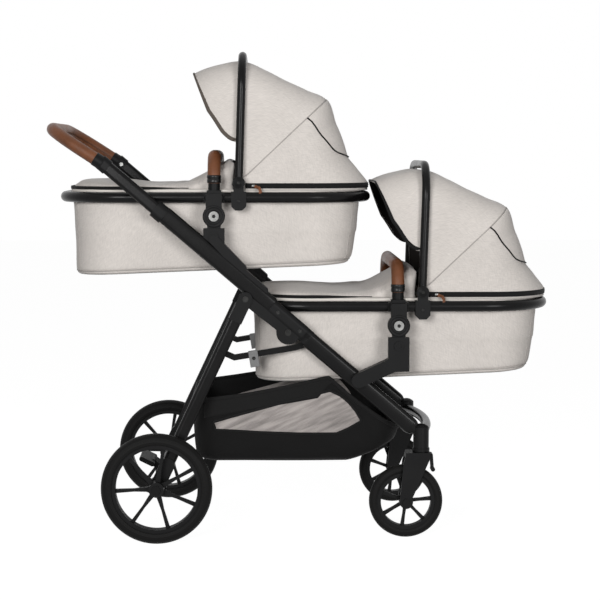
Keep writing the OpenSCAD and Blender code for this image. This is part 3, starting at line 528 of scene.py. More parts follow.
def ramp(value, low, high, start=0.35, end=0.65):
    """Colour between low and high as value goes from start to end."""
    result = add(value.tree, "ShaderNodeValToRGB", {"Fac": value})
    for stop, place, c in zip(result.socket.node.color_ramp.elements, (start, end), (low, high)):
        stop.position, stop.color = place, (*c, 1)
    return result


def spread(value, low, high, start=0.3, end=0.7):
    """Number between low and high as value goes from start to end."""
    inputs = {"Value": value, "From Min": start, "From Max": end, "To Min": low, "To Max": high}
    return add(value.tree, "ShaderNodeMapRange", inputs)


def relief(height, distance, strength=0.5):
    """Normal bumped by a height; distance is in millimetres."""
    inputs = {"Height": height, "Distance": distance * MM, "Strength": strength}
    return add(height.tree, "ShaderNodeBump", inputs)


def tone(c, k):
    """Colour scaled by k."""
    return tuple(min(1.0, x * k) for x in c)


def threads(tree, wide, long):
    """Noise drawn out along both directions of the cloth, as mean of warp and weft."""
    warp = noise(coords(tree, "UV", (1 / wide, 1 / long, 1)), 1.0, 3.0, 0.6)
    weft = noise(coords(tree, "UV", (1 / long, 1 / wide, 1)), 1.0, 3.0, 0.6)
    return (warp + weft) * 0.5


def woven(name, c, weave, contrast, sheen, rough=0.88, slub=0.02, depth=0.25, shine=0.25):
    """Woven cloth: fine threads and thick slubs in both directions colour it and a plain weave lifts it."""
    tree = shader(name)
    thread = threads(tree, weave * 1.2, slub)
    thick = threads(tree, weave * 2.2, slub * 0.7)
    mottle = noise(coords(tree), 9.0, 3.0)
    both = thick * 0.4 + thread * 0.45 + mottle * 0.15
    u, v, _ = parts(coords(tree, "UV", (2 * math.pi / weave,) * 3))
    height = u.by("SINE") * v.by("SINE") * 0.35 + thread
    inputs = {
        "Base Color": ramp(both, tone(c, 1 - contrast), tone(c, 1 + 0.55 * contrast), 0.38, 0.62),
        "Normal": relief(height, 0.35, depth),
        "Roughness": spread(thread, rough - 0.06, rough + 0.06),
        "Sheen Weight": sheen,
        "Sheen Roughness": 0.5,
        "Specular IOR Level": shine,
    }
    paint(tree, inputs)


def coated(name, c, rough, grain, depth, scale, shine=0.22):
    """Painted or moulded surface: fine grain in its relief and slow changes in its gloss and tone."""
    tree = shader(name)
    fine = noise(coords(tree), scale, 2.0, 0.6)
    slow = noise(coords(tree), 14.0, 3.0)
    inputs = {
        "Base Color": ramp(slow, tone(c, 0.86), tone(c, 1.16)),
        "Normal": relief(fine, depth, 0.4),
        "Roughness": spread(fine * grain + slow * (1 - grain), rough - 0.05, rough + 0.05),
        "Specular IOR Level": shine,
    }
    paint(tree, inputs)


def hide(name, c):
    """Leather: pebbled grain from cells, darker in its creases, with slow changes of tone."""
    tree = shader(name)
    place = coords(tree)
    grain = {"Vector": place, "Scale": 620.0}
    cells = add(tree, "ShaderNodeTexVoronoi", grain, "Distance", feature="DISTANCE_TO_EDGE")
    slow = noise(place, 18.0, 4.0, 0.6)
    fine = noise(place, 1500.0, 2.0)
    crease = spread(cells, 0.0, 1.0, 0.0, 0.14)
    base = ramp(slow, tone(c, 0.72), tone(c, 1.3), 0.3, 0.7)
    mixed = {"Factor": crease * 0.4 + 0.6, 6: (*tone(c, 0.35), 1), 7: base}
    inputs = {
        "Base Color": add(tree, "ShaderNodeMix", mixed, 2, data_type="RGBA"),
        "Normal": relief(fine * 0.15 + crease, 0.25, 0.35),
        "Roughness": spread(slow, 0.36, 0.5),
        "Specular IOR Level": 0.22,
    }
    paint(tree, inputs)


def tread_rubber(name, c, node):
    """Tyre rubber: fine rings on the side walls and slanting cuts on the tread, about the wheel's axle."""
    low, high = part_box(node)
    middle = (low + high) / 2
    radius = (high.z - low.z) / 2
    tree = shader(name)
    x, y, z = parts(coords(tree, "Object", (1, 1, 1), (-middle.x, 0, -middle.z)))
    r = (x * x + z * z).by("SQRT")
    rings = (r * (2 * math.pi / 0.0052)).by("SINE")
    side = spread(r, 1.0, 0.0, radius - 0.010, radius - 0.006)
    slant = y.by("ABSOLUTE") * 320.0 + z.by("ARCTAN2", x) * 110.0
    cuts = slant.by("SINE").by("SMOOTH_MIN", 0.2, 0.4)
    tread = spread(r, 0.0, 1.0, radius - 0.006, radius - 0.003)
    fine = noise(coords(tree), 700.0, 3.0)
    height = rings * (side * 0.35) + cuts * (tread * 1.2) + fine * 0.2
    dust = tread * spread(noise(coords(tree), 60.0, 4.0), 0.2, 1.0)
    inputs = {
        "Base Color": ramp(dust, c, tone(c, 2.6), 0.0, 1.0),
        "Normal": relief(height, 0.6, 0.6),
        "Roughness": spread(fine, 0.5, 0.68),
        "Specular IOR Level": 0.1,
    }
    paint(tree, inputs)


def turned_steel(name, c, rough):
    """Bright metal with faint turned lines across its face and slow smudges."""
    tree = shader(name)
    lines = noise(coords(tree, "Object", (900, 60, 900)), 3.0, 3.0)
    smudge = noise(coords(tree), 45.0, 3.0)
    inputs = {
        "Base Color": ramp(smudge, tone(c, 0.8), tone(c, 1.12)),
        "Normal": relief(lines, 0.05, 0.2),
        "Roughness": spread(lines + smudge, rough - 0.08, rough + 0.1, 0.7, 1.3),
        "Metallic": 1.0,
    }
    paint(tree, inputs)


def netting(name, c):
    """Fine net: holes in a crossed grid show darker between pale threads, with slanting streaks where layers cross."""
    tree = shader(name)
    x, _, z = parts(coords(tree, "Object", (2 * math.pi / 0.0034,) * 3))
    holes = x.by("COSINE") * z.by("COSINE")
    slanted = {"Vector": coords(tree), "Angle": 0.42}
    turned = add(tree, "ShaderNodeVectorRotate", slanted, rotation_type="Y_AXIS")
    drift = noise(add(tree, "ShaderNodeMapping", {"Vector": turned, "Scale": (12, 1, 95)}), 1.0, 3.0)
    inputs = {
        "Base Color": ramp(drift * 0.9 + holes * 0.25, tone(c, 1.5), tone(c, 0.45), 0.2, 0.7),
        "Normal": relief(holes, 0.5, 0.5),
        "Roughness": 0.8,
    }
    paint(tree, inputs)


def make_finishes(sizes, c):
    """Every finish of the pram, by its name."""
    weave = sizes.weave
    woven("melange cloth", c.cloth, weave, 0.2, 0.25)
    # painted shade: the cloth darkened to 0.62 for welts and piping, standing in for the shade along the seams
    woven("hem cloth", tone(c.cloth, 0.62), weave, 0.2, 0.2)
    woven("cotton lining", c.lining, 0.0009, 0.07, 0.2)
    # painted shade: near black cloth for the hoods' inner side, where shade falls
    woven("painted shade lining", c.shade, 0.0009, 0.25, 0.1, shine=0.1)
    woven("tape", c.binding, 0.0011, 0.3, 0.04, 0.72, 0.006, 0.5, 0.14)
    woven("brown tape", c.braid, 0.0011, 0.3, 0.04, 0.72, 0.006, 0.5, 0.14)
    woven("basket cloth", tone(c.binding, 0.95), 0.0012, 0.35, 0.03, 0.7, 0.008, 0.5, 0.1)
    woven("grey webbing", c.webbing, 0.0016, 0.22, 0.1, 0.8, 0.005, 0.6)
    coated("satin black", c.satin, 0.26, 0.4, 0.02, 900.0, shine=0.12)
    coated("grained plastic", c.plastic, 0.44, 0.6, 0.06, 1300.0, shine=0.1)
    coated("gloss plastic", tone(c.plastic, 0.7), 0.3, 0.3, 0.02, 1300.0)
    coated("thread", (0.05, 0.024, 0.014), 0.7, 0.5, 0.03, 2500.0)
    hide("brown leather", c.leather)
    tread_rubber("front rubber", c.rubber, "front_tyre_left")
    tread_rubber("rear rubber", c.rubber, "rear_tyre_left")
    turned_steel("bright steel", c.steel, 0.32)
    turned_steel("dark steel", tone(c.steel, 0.13), 0.34)
    netting("grey net", c.net)


RIGID = {
    "satin black": (
        "upper_tubes handle_tubes front_legs front_crossbar rear_legs rear_axle stay_bars"
        " upper_rim upper_bow upper_hoop lower_rim lower_bow lower_hoop"
    ),
    "grained plastic": (
        "tube_collars fold_castings upper_brackets handle_collars front_knuckles caster_housings"
        " lower_brackets caster_fork_left caster_fork_right swivel_lock_left swivel_lock_right"
        " rear_leg_caps axle_housings brake_pedal upper_adapters upper_hood_hinges lower_adapters"
        " lower_hood_hinges front_rim_left front_rim_right rear_rim_left rear_rim_right"
    ),
    "bright steel": (
        "handle_button_left handle_button_right upper_release_left upper_release_right"
        " lower_release_left lower_release_right"
    ),
    "dark steel": "pivot_pins frame_screws",
    "brown leather": "handle_grip upper_bumper lower_bumper",
    "front rubber": "front_tyre_left front_tyre_right",
    "rear rubber": "rear_tyre_left rear_tyre_right",
}


class PRAM_OT_finishes(Operator):
    """Make the finishes and give the rigid parts theirs"""

    bl_idname = "pram.finishes"
    bl_label = "Finishes"

    def execute(self, context):
        make_finishes(context.scene.pram_sizes, context.scene.pram_colours)
        for finish, names in RIGID.items():
            for name in names.split():
                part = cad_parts[name]
                part.data.materials.clear()
                part.data.materials.append(FINISHES[finish])
        return {"FINISHED"}


# Cots

# Tub rows: foot end, head end, half width, corner radius, height, share of the sloping floor
TUB_ROWS = np.array(
    [
        [0, 0, 0, 0, 0, 1],
        [-332, 318, 150, 88, 0, 1],
        [-350, 337, 165, 98, 1, 1],
        [-358, 345, 174, 106, 5, 1],
        [-362, 349, 178, 110, 14, 1],
        [-364, 356, 183, 113, -92, 0.25],
        [-365, 363, 187.5, 116, -90, 0],
        [-365, 369, 189, 119, -45, 0],
        [-366, 372, 191, 122, -22, 0],
        [-370, 373, 194, 134, -9, 0],
        [-374, 374, 196, 149, 4, 0],
        [-375, 375, 196.4, 150, 13, 0],
        [-373, 373, 194.5, 148, 17, 0],
        [-369, 369, 190.5, 145, 15, 0],
        [-362, 366, 187, 128, -8, 0],
        [-358, 363, 183, 115, -30, 0],
        [-358, 356, 180, 110, -90, 0],
        [-355, 341, 171, 104, 18, 1],
        [-342, 324, 157, 92, 7, 1],
        [0, 0, 0, 0, 6, 1],
    ],
    float,
)
TUB_OUTER = 12


def tub_floor(x):
    """Height of the tub's sloping floor under the rim's axis."""
    return -172 - 30 * (TUB_HEAD - x) / (TUB_HEAD - TUB_FOOT)


def tub_grid(count, fine, pucker):
    """Tub: oblong outlines, smoothed from row to row, with soft puckers where the cloth is drawn in under the rim."""
    t = np.linspace(0, len(TUB_ROWS) - 1, fine)
    knots = np.arange(len(TUB_ROWS))
    x0, x1, half, corner, z, sloped = (pchip(t, knots, col) for col in TUB_ROWS.T)
    flat = oblong(x0, x1, half, corner, count)
    x = flat[..., 0]
    height = z[:, None] + sloped[:, None] * tub_floor(x)
    s = np.linspace(0, 2300, count)[None, :]
    outer = ((t > 3.5) & (t < 9.5)).astype(float)[:, None]
    drawn = bump_at(height, -26, 26) * (0.6 + 0.4 * np.sin(s / 91))
    waves = np.sin(s / 17 + 1.6 * np.sin(s / 67)) + 0.6 * np.sin(s / 29 + 2)
    slack = bump_at(height, -105, 60) * (np.sin(s / 118 + height / 70) + 0.5 * np.sin(s / 61 - height / 45))
    push = outer * pucker * (drawn * waves + 0.9 * slack)
    way = np.stack([np.clip(x, x0[:, None] + 120, x1[:, None] - 120), 0 * x], -1)
    away = flat - way
    away /= np.maximum(np.linalg.norm(away, axis=-1, keepdims=True), 1e-6)
    flat = flat + away * push[..., None]
    return np.concatenate([flat, height[..., None]], -1), t


class PRAM_OT_tubs(Operator):
    """Sew the padded tub of each cot: outer cloth, lining, corner welts, base piping and hem"""

    bl_idname = "pram.tubs"
    bl_label = "Tubs"

    def execute(self, context):
        sizes = context.scene.pram_sizes
        welt = sizes.welt / MM
        grid, t = tub_grid(361, 96, sizes.pucker / MM)
        trim = []
        for share in (0.065, 0.435, 0.565, 0.935):
            line = grid[(t > 3.8) & (t < 9.6), int(share * 360)]
            trim.append(capped(sweep(line, ring(welt, welt, 8), np.sign(line[0]) * (1, 1, 0))))
        trim.append(looped(grid[np.searchsorted(t, 3.6)], ring(1.9, 1.9, 10)))
        top = oblong([-SEAT_X + 4], [SEAT_X - 4], [SEAT_Y - 4], [SEAT_CORNER - 4], 361)[0]
        hem = looped(at_height(top, TUB_TOP), ring(4.0, 4.6, 14, 0.8))
        for cot in COTS:
            place, body = cot_middle(cot), cot + "_cot"
            looks = ["melange cloth", "cotton lining"]
            tub = surface(cot + "_tub_cloth", grid + place, finish=looks, rows=t[:-1] > TUB_OUTER)
            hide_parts(cot + "_tub")
            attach(tub, body)
            # welts and base piping in the darker cloth that paints the seams' shade
            dress(cot + "_tub_welts", [g + place for g in trim], "hem cloth", body)
            dress(cot + "_tub_hem", hem + place, "cotton lining", body)
        return {"FINISHED"}


# Mattress rows: inset from its outline, height above the tub's floor
PAD_ROWS = np.array(
    [
        [150, 7], [60, 7], [20, 7.5], [6, 9], [2, 15], [6, 27],
        [2, 39], [10, 45], [28, 49], [60, 52], [110, 54], [153, 55],
    ],
    float,
)


class PRAM_OT_mattresses(Operator):
    """Fill the mattress of each cot: a crowned pad whose sides draw in"""

    bl_idname = "pram.mattresses"
    bl_label = "Mattresses"

    def execute(self, context):
        inset, lift = PAD_ROWS.T
        half = np.maximum(TUB_Y - 38 - inset, 0)
        corner = np.minimum(np.maximum(90 - inset, 0), half)
        flat = oblong(TUB_FOOT + 24 + inset, TUB_HEAD - 62 - inset, half, corner, 181)
        grid = at_height(flat, lift[:, None] + tub_floor(flat[..., 0]))
        pattern = surface("pad_pattern", capped(grid), finish="cotton lining")
        swell(pattern, context.scene.pram_sizes, 7)
        plan_uv(pattern.data)
        pad_cots(pattern, "_mattress_pad", "_mattress")
        return {"FINISHED"}


FLAP_X = -78.0
FLAP_END = 52.0
BAND_END = -62.0


def apron_grid(stations, across):
    """Apron: rings across the cot, flat below and crowned above, that follow the rim's outline and rise as a wind flap.

    The flap's sides hang down to the rim.
    """
    x = stations[:, None]
    centre = -SEAT_X + SEAT_CORNER
    bow = np.sqrt(np.maximum(0, SEAT_CORNER**2 - np.minimum(x - centre, 0) ** 2))
    half = SEAT_Y - 1 - SEAT_CORNER + bow - 17 * np.clip((x - FLAP_X) / 30, 0, 1)
    rise = np.clip((x - FLAP_X) / (46 - FLAP_X), 0, 1.1)
    low = TUB_TOP + 0.6 + 64 * rise**1.2
    crown = pchip(stations, [-374, -330, -250, -150, -78, 52], [10, 15, 15, 9, 9, 9])[:, None]
    edge = pchip(stations, [-374, -330, -100, 52], [6, 7.5, 8, 8.5])[:, None]
    v = np.linspace(-1, 1, across)[None, :]
    top = low + edge * (1 - np.abs(v) ** 24) + crown * (1 - np.abs(v) ** 2.4) + 1.0
    hang = np.clip((np.abs(v) - 0.66) / 0.08, 0, 1)
    under = low + 0.4 * crown * (1 - v**2) * (rise > 0) - (low - TUB_TOP - 0.6) * hang
    upper = np.stack([x + 0 * v, v * half, top], -1)
    lower = np.stack([x + 0 * v, v * half, under], -1)[:, ::-1]
    return np.concatenate([upper, lower, upper[:, :1]], 1)


def apron_creases(x, y, z):
    """Soft creases: fans that run from the bumper's feet into the cover, and a slack dip along its middle."""
    side = np.abs(y)
    near = bump_at(x, -70, 75) * bump_at(side, 150, 75)
    fan = np.sin((x * 0.55 + side * 0.9) / 11.0) + 0.7 * np.sin((x - side * 0.6) / 17.0)
    dip = -5.0 * bump_at(x, -150, 90) * bump_at(y, 0, 130)
    slow = 1.1 * np.sin(x / 47 + 0.8 * np.sin(y / 70)) * np.cos(y / 95)
    hung = 1.8 * np.sin(x / 5.2 + z / 26) * np.clip((side - 150) / 20, 0, 1) * np.clip((x + 40) / 40, 0, 1)
    return (1.7 * near * fan + dip + hung + slow * (x < FLAP_X + 10)) * (z > TUB_TOP + 6)


class PRAM_OT_aprons(Operator):
    """Fill the apron of each cot: a padded cover with its wind flap, black zip band and pull tab"""

    bl_idname = "pram.aprons"
    bl_label = "Aprons"

    def execute(self, context):
        foot = -SEAT_X + 3 + 130 * np.linspace(0, 1, 14) ** 2
        stations = np.concatenate([foot, np.linspace(-230, FLAP_END, 40)])
        pattern = surface("apron_pattern", capped(apron_grid(stations, 49)), finish="melange cloth")
        swell(pattern, context.scene.pram_sizes, 5, 3.0)
        displaced(pattern, apron_creases)
        plan_uv(pattern.data)
        pad_cots(pattern, "_apron_cover", "_apron")
        outline = oblong([-SEAT_X + 0.5], [SEAT_X], [SEAT_Y - 0.5], [SEAT_CORNER], 721)[0]
        path = np.concatenate([outline[-241:-1], outline[:241]])
        line = at_height(path[path[:, 0] < BAND_END], 23.5)
        taper = np.clip((BAND_END - line[:, 0]) / 130, 0.25, 1)
        band = capped(scaled(line, sweep(line, ring(4.2, 1.8, 14, 0.6), UP), taper))
        tab_line = np.array([[-288, 0, 37], [-284, 0, 41], [-274, 0, 42.5], [-262, 0, 42], [-258, 0, 37]], float)
        tab = capped(sweep(resampled(tab_line, 20), ring(0.9, 11, 12, 0.5), UP))
        for cot in COTS:
            dress(cot + "_apron_band", band + cot_middle(cot), "tape", cot + "_cot")
            dress(cot + "_apron_tab", tab + cot_middle(cot), "tape", cot + "_cot")
        return {"FINISHED"}


# Hoods

HOOD_MIDDLE = (PIVOT[0] + 120, 0, 60)
FLAP_REACH = 236.0


def hood_arch(angle, share, lift=0.0):
    """Points of the hood: at each angle about the pivot an arch of two sides, two round corners and a top.

    angle and share broadcast together; share runs from 0 at the right foot over the top to 1 at the left foot.
    """
    angle, share = np.broadcast_arrays(np.asarray(angle, float), np.asarray(share, float))
    reach, half, corner, start = (pchip(angle, HOOD_ARCHES[:, 0], HOOD_ARCHES[:, k]) for k in (1, 2, 3, 4))
    reach, half, corner = reach + lift, HOOD_Y + half + lift, corner + lift
    side, arc, top = reach - corner - start, corner * np.pi / 2, half - corner
    whole = 2 * (side + arc + top)
    s = share * whole
    s = np.where(share > 0.5, whole - s, s)
    turn = np.clip((s - side) / corner, 0, np.pi / 2)
    out = start + np.minimum(s, side) + corner * np.sin(turn)
    y = -half + corner * (1 - np.cos(turn)) + np.clip(s - side - arc, 0, None)
    y = np.where(share > 0.5, -y, y)
    a = np.radians(angle)
    return np.stack([PIVOT[0] + out * np.cos(a), y, PIVOT[1] + out * np.sin(a)], -1)


def arch_share(angle, out):
    """Share of an arch at which its right side reaches the distance out from the pivot."""
    shares = np.linspace(0, 0.5, 400)
    p = hood_arch(np.full(400, float(angle)), shares)
    far = np.hypot(p[:, 0] - PIVOT[0], p[:, 2] - PIVOT[1])
    return float(np.interp(out, far, shares))


def hood_normals(angle, share):
    """Outward normals of the hood along a line of angles and shares, from differences."""
    e = 0.004
    a = hood_arch(angle + 0.4, share) - hood_arch(angle - 0.4, share)
    b = hood_arch(angle, np.clip(share + e, 0, 1)) - hood_arch(angle, np.clip(share - e, 0, 1))
    n = np.cross(a, b)
    away = hood_arch(angle, share) - (PIVOT[0] + 90, 0, PIVOT[1] + 90)
    return unit(n * np.sign((n * away).sum(-1, keepdims=True)))


def fan_with(obj):
    """Bakes a hood piece's placement into its mesh and reads its points."""
    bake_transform(obj)
    co = points_of(obj.data)
    return obj


class PRAM_OT_hoods(Operator):
    """Stretch each hood over its bow and hoop as one sheet from the hem on the rim to the visor"""

    bl_idname = "pram.hoods"
    bl_label = "Hoods"

    def execute(self, context):
        angles = np.concatenate([np.linspace(0, HOOP_ANGLE, 40), np.linspace(HOOP_ANGLE, VISOR_ANGLE, 66)[1:]])
        grid = hood_arch(angles[:, None], np.linspace(0, 1, 121)[None, :])
        hem = grid[:1].copy()
        hem[..., 2] = TUB_TOP + 0.4
        rows = np.concatenate([hem, 0.5 * hem + 0.5 * grid[:1], grid])
        for cot in COTS:
            place = cot_middle(cot)
            # the hood's inner wall takes the near black painted shade
            looks = ["melange cloth", "painted shade lining"]
            hood = surface(cot + "_hood_cloth", rows + place, place + HOOD_MIDDLE, looks)
            thickened(hood, 2.4, 1)
            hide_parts(cot + "_hood")
            fan_with(hood)
        return {"FINISHED"}


def flap_grids():
    """Rear window flap, laid on the hood from the seam to a curved lower edge, and the piping of that edge."""
    start = arch_share(HOOP_ANGLE, FLAP_REACH)
    share = np.linspace(start, 1 - start, 97)
    nearer = np.minimum(share, 1 - share)
    low = pchip(nearer, [start, 0.271, 0.301, 0.346, 0.4, 0.5], [HOOP_ANGLE, 28, 18, 14.7, 13, 12.6])
    depth = np.linspace(0, 1, 24)[:, None]
    flap = hood_arch(low + (HOOP_ANGLE - 0.4 - low) * depth, share + 0 * depth, 2.2)
    return flap, capped(sweep(hood_arch(low, share, 2.4), ring(1.6, 1.9, 10), hood_normals(low, share)))


def visor_grid():
    """Tape along the visor's edge: up the right foot, over the front and down the left foot, wider at the feet."""
    climb = np.linspace(93, 112.4, 40)
    angle = np.concatenate([climb, np.full(118, 112.6), climb[::-1]])
    share = np.concatenate([np.full(40, 0.008), np.linspace(0.012, 0.988, 118), np.full(40, 0.992)])
    line = hood_arch(angle, share, 1.7)
    out = hood_normals(np.clip(angle, 0, 112), np.clip(share, 0.01, 0.99))
    k = np.arange(len(line))
    wide = np.interp(np.minimum(k, k[::-1]), [0, 10, 40, 60, 98], [0.5, 1.1, 1.0, 0.55, 0.4])
    return capped(scaled(line, sweep(line, ring(1.7, 4.6, 14, 0.6), out), wide))


class PRAM_OT_hood_trim(Operator):
    """Sew on the hood's trim: seam welt, rear window flap with piping, visor binding, zip band and pull"""

    bl_idname = "pram.hood_trim"
    bl_label = "Hood Trim"

    def execute(self, context):
        sizes = context.scene.pram_sizes
        half_band = sizes.band_height / MM / 2
        share = np.linspace(0.012, 0.988, 160)
        angle = np.full(160, HOOP_ANGLE)
        seam = capped(sweep(hood_arch(angle, share), ring(sizes.welt / MM, 1.6, 10), hood_normals(angle, share)))
        flap, piping = flap_grids()
        visor = visor_grid()
        base = hood_arch(np.zeros(200), np.linspace(0.004, 0.996, 200), 0.8)
        base[:, 2] = TUB_TOP + 6.4 + half_band
        band = capped(sweep(base, ring(half_band, 1.5, 16, 0.45), UP))
        teeth = capped(sweep(base + (0, 0, 0.5), ring(1.2, 2.3, 10, 0.6), UP))
        flat, area = sheet_size(flap)
        area = max(area, 0.31 * flat[0] * flat[1])
        slider = lathe([[0, -3.5], [2.6, -3.5], [3.4, -2], [3.4, 2], [2.6, 3.5], [0, 3.5]], 16)
        slider = slider[..., [2, 1, 0]] * (1.4, 0.7, 1)
        pull = np.array([[3, -2.0, 0], [8, -4.5, -3], [14, -12, -4], [17, -15.5, -12], [18, -15.8, -21]], float)
        strip = capped(sweep(resampled(pull, 24), ring(0.9, 4.2, 12, 0.5), (0.35, -1, 0.2)))
        for cot in COTS:
            place, body = cot_middle(cot), cot + "_cot"
            panel = surface(cot + "_hood_flap", flap + place, place + HOOD_MIDDLE, ["melange cloth"] * 2)
            thickened(panel, 1.2)
            fan_with(panel)
            edging = "brown tape" if cot == "upper" else "tape"
            for name, grid, finish in (
                # seam welt in the darker cloth that paints the seam's shade
                ("_hood_seam", seam, "hem cloth"),
                ("_hood_piping", piping, "tape"),
                ("_visor_binding", visor, edging),
            ):
                fan_with(surface(cot + name, grid + place, finish=finish))
            dress(cot + "_zip_band", [band + place, teeth + place], "tape", body)
            zipper = place + (PIVOT[0] + 37, -HOOD_Y - 3.4, TUB_TOP + 13)
            dress(cot + "_zip_slider", slider + zipper, "bright steel", body)
            dress(cot + "_zip_tab", strip + zipper, "brown leather", body)
        return {"FINISHED"}


# Leather and fittings

STITCH_LONG = 3.2
STITCH_RADIUS = 0.45


def stitches(path, normal, pitch):
    """Row of stitches: small six-sided spindles at even distances along a path, lifted along normal."""
    count = int(lengths(path)[-1] / pitch)
    line = resampled(path, count * 2 + 1)
    middle, ahead = line[1::2], unit(line[2::2] - line[:-2:2])
    normal = np.broadcast_to(np.asarray(normal, float), path.shape)
    lift = unit(resampled(normal, count * 2 + 1)[1::2])
    side = np.cross(ahead, lift)
    t = np.linspace(0, 2 * np.pi, 7)
    along = np.array([-0.5, -0.36, 0, 0.36, 0.5]) * STITCH_LONG
    wide = np.array([0.0, 0.8, 1.0, 0.8, 0.0]) * STITCH_RADIUS
    grids = (
        middle[:, None, None]
        + along[None, :, None, None] * ahead[:, None, None]
        + (wide[:, None] * np.cos(t))[None, :, :, None] * lift[:, None, None]
        + (wide[:, None] * np.sin(t))[None, :, :, None] * side[:, None, None]
    )
    return list(grids)


def stitched(name, path, shift, inside, pitch, place, body):
    """Sews a groove along a path, with a row of stitches at either side of it, lifted towards the inside."""
    rows = stitches(path + shift, inside, pitch) + stitches(path - shift, inside, pitch)
    groove = capped(sweep(path, ring(0.5, 0.7, 8), inside))
    dress(name, [g + place for g in rows + [groove]], "thread", body)


# Push bar: start of its legs, slope, half width, length of its legs, corner radius and inner side of its leather
GRIP_START = np.array([AXLE_X - 129.966, 0, 953.134])
GRIP_SLOPE = np.radians(33.0)
GRIP_Y = 246.0
GRIP_LEG = 160.0
GRIP_CORNER = 89.0
GRIP_SIDE = 16.2
# Bumper bars: half width, height of the bar's axis, corner radius and inner side of the leather
BUMPER_Y = 207.0
BUMPER_TOP = 103.0
BUMPER_CORNER = 37.3
BUMPER_SIDE = 16.7
CUFF = [
    [16.6, 36.8], [17.6, 37.4], [17.9, 39.5], [17.9, 46], [17.1, 47],
    [17.1, 48], [18.1, 49], [18.1, 54.5], [17.6, 56], [16.6, 56.6],
]


class PRAM_OT_leather(Operator):
    """Stitch the leather of the grip and the bumper bars along their inner sides, and cuff the bars' ends"""

    bl_idname = "pram.leather"
    bl_label = "Leather"

    def execute(self, context):
        pitch = context.scene.pram_sizes.stitch_pitch / MM
        back = np.array([-np.cos(GRIP_SLOPE), 0, np.sin(GRIP_SLOPE)])
        near, far = GRIP_START + back * 12, GRIP_START + back * (GRIP_LEG - GRIP_SIDE)
        across = np.array([0, GRIP_Y - GRIP_SIDE, 0])
        corners = [near - across, far - across, far + across, near + across]
        path = resampled(rounded(corners, [GRIP_CORNER] * 2, 24), 400)
        inside = unit(GRIP_START + back * 60 - path)
        stitched("grip_stitching", path, np.cross(back, (0, 1, 0)) * 2.0, inside, pitch, (0, 0, 0), "handle")
        y, top = BUMPER_Y - BUMPER_SIDE, BUMPER_TOP - BUMPER_SIDE
        corners = [[0, -y, 60], [0, -y, top], [0, y, top], [0, y, 60]]
        path = resampled(rounded(corners, [BUMPER_CORNER] * 2, 20), 300)
        inside = np.array([0, 0, 40]) - path
        for cot in COTS:
            place, body = cot_middle(cot), cot + "_bumper"
            stitched(body + "_stitching", path, (2.0, 0, 0), inside, pitch, place, body)
            cuffs = [lathe(CUFF, 40) + (0, s * BUMPER_Y, 0) + place for s in (-1, 1)]
            dress(body + "_cuffs", cuffs, "gloss plastic", body)
        return {"FINISHED"}


def screw(radius):
    """Screw head turned about Z: a low dome with a socket sunk in it."""
    dome = [[0, 0.1], [0.48, 0.1], [0.5, 0.42], [0.56, 0.5], [0.82, 0.42], [0.97, 0.22], [1, 0], [1, -0.4]]
    return lathe(np.array(dome) * radius, 30)


def facing(grid, side):
    """Turns a grid made about Z to face out across the pram on the side given by its sign."""
    return np.stack([grid[..., 0], side * grid[..., 2], side * grid[..., 1]], -1)


# Fittings turned about their own axis: rows of radius and height
CAP = [
    [0, 2.2], [5.6, 2.2], [6.2, 1.6], [11.6, 1.6], [12.2, 1.0],
    [13.2, 1.0], [13.8, 1.7], [15, 1.4], [15.4, 0], [15.4, -1],
]
DISC = [
    [13.6, 0.2], [14.6, 1.2], [19.5, 1.6], [20.3, 0.9], [21.3, 0.9],
    [22, 1.7], [26.4, 1.4], [27.6, 0.6], [27.8, -1],
]
HUB = [[0, -1.2], [2.2, -1.2], [2.4, -0.4], [4.3, -0.4], [4.3, -2.4]]
BARREL = [[0, -25], [5, -24.6], [8, -22.5], [9.5, -18], [9.5, 18], [8, 22.5], [5, 24.6], [0, 25]]
HINGE_Y = 229.2
DISC_Z = -46.0


class PRAM_OT_fittings(Operator):
    """Add the small fittings of the cots: hinge caps with screws, block screws and disc rings"""

    bl_idname = "pram.fittings"
    bl_label = "Fittings"

    def execute(self, context):
        cap, disc, hub = lathe(CAP, 40), lathe(DISC, 56), lathe(HUB, 24)
        barrel = lathe(BARREL, 28)[..., [2, 1, 0]] * (1, 0.9, 1)
        for cot in COTS:
            place, body, release = cot_middle(cot), cot + "_cot", cot + "_release_"
            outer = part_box(cot + "_adapters")[1].y / MM
            caps, screws, discs = [], [], []
            for side, s in (("right", -1), ("left", 1)):
                hinge = place + (PIVOT[0], s * HINGE_Y, PIVOT[1])
                caps.append(facing(cap, s) + hinge)
                screws.append(facing(screw(4.2), s) + hinge + (0, s * 2, 0))
                screws.append(facing(screw(3.4), s) + place + (PIVOT[0], s * HINGE_Y, -8))
                discs.append(facing(disc, s) + place + (0, s * outer, DISC_Z))
                discs.append(barrel + place + (0, s * (outer - 20), 0))
                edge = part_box(release + side)[(s + 1) // 2].y / MM
                core = facing(hub, s) + place + (0, edge, DISC_Z)
                dress(release + "hub_" + side, core, "gloss plastic", release + side)
            dress(cot + "_hinge_caps", caps, "grained plastic", body)
            dress(cot + "_hinge_screws", screws, "dark steel", body)
            dress(cot + "_disc_rings", discs, "grained plastic", body)
        return {"FINISHED"}


# Tubes

TUBE_START = np.array([345.287, 0.0, 547.229])
TUBE_DOWN = np.array([0.760406, 0.0, -0.649448])
TUBE_UP = np.array([0.649448, 0.0, 0.760406])
TUBE_HALF = 12.3


def stadium(tall, wide, count=32):
    """Closed oval with straight flanks: half circles of radius wide, moved apart to the half height tall."""
    t = np.linspace(0, 2 * np.pi, count + 1) + np.pi / count
    return np.stack([np.where(np.cos(t) > 0, 1, -1) * (tall - wide) + wide * np.cos(t), wide * np.sin(t)], -1)


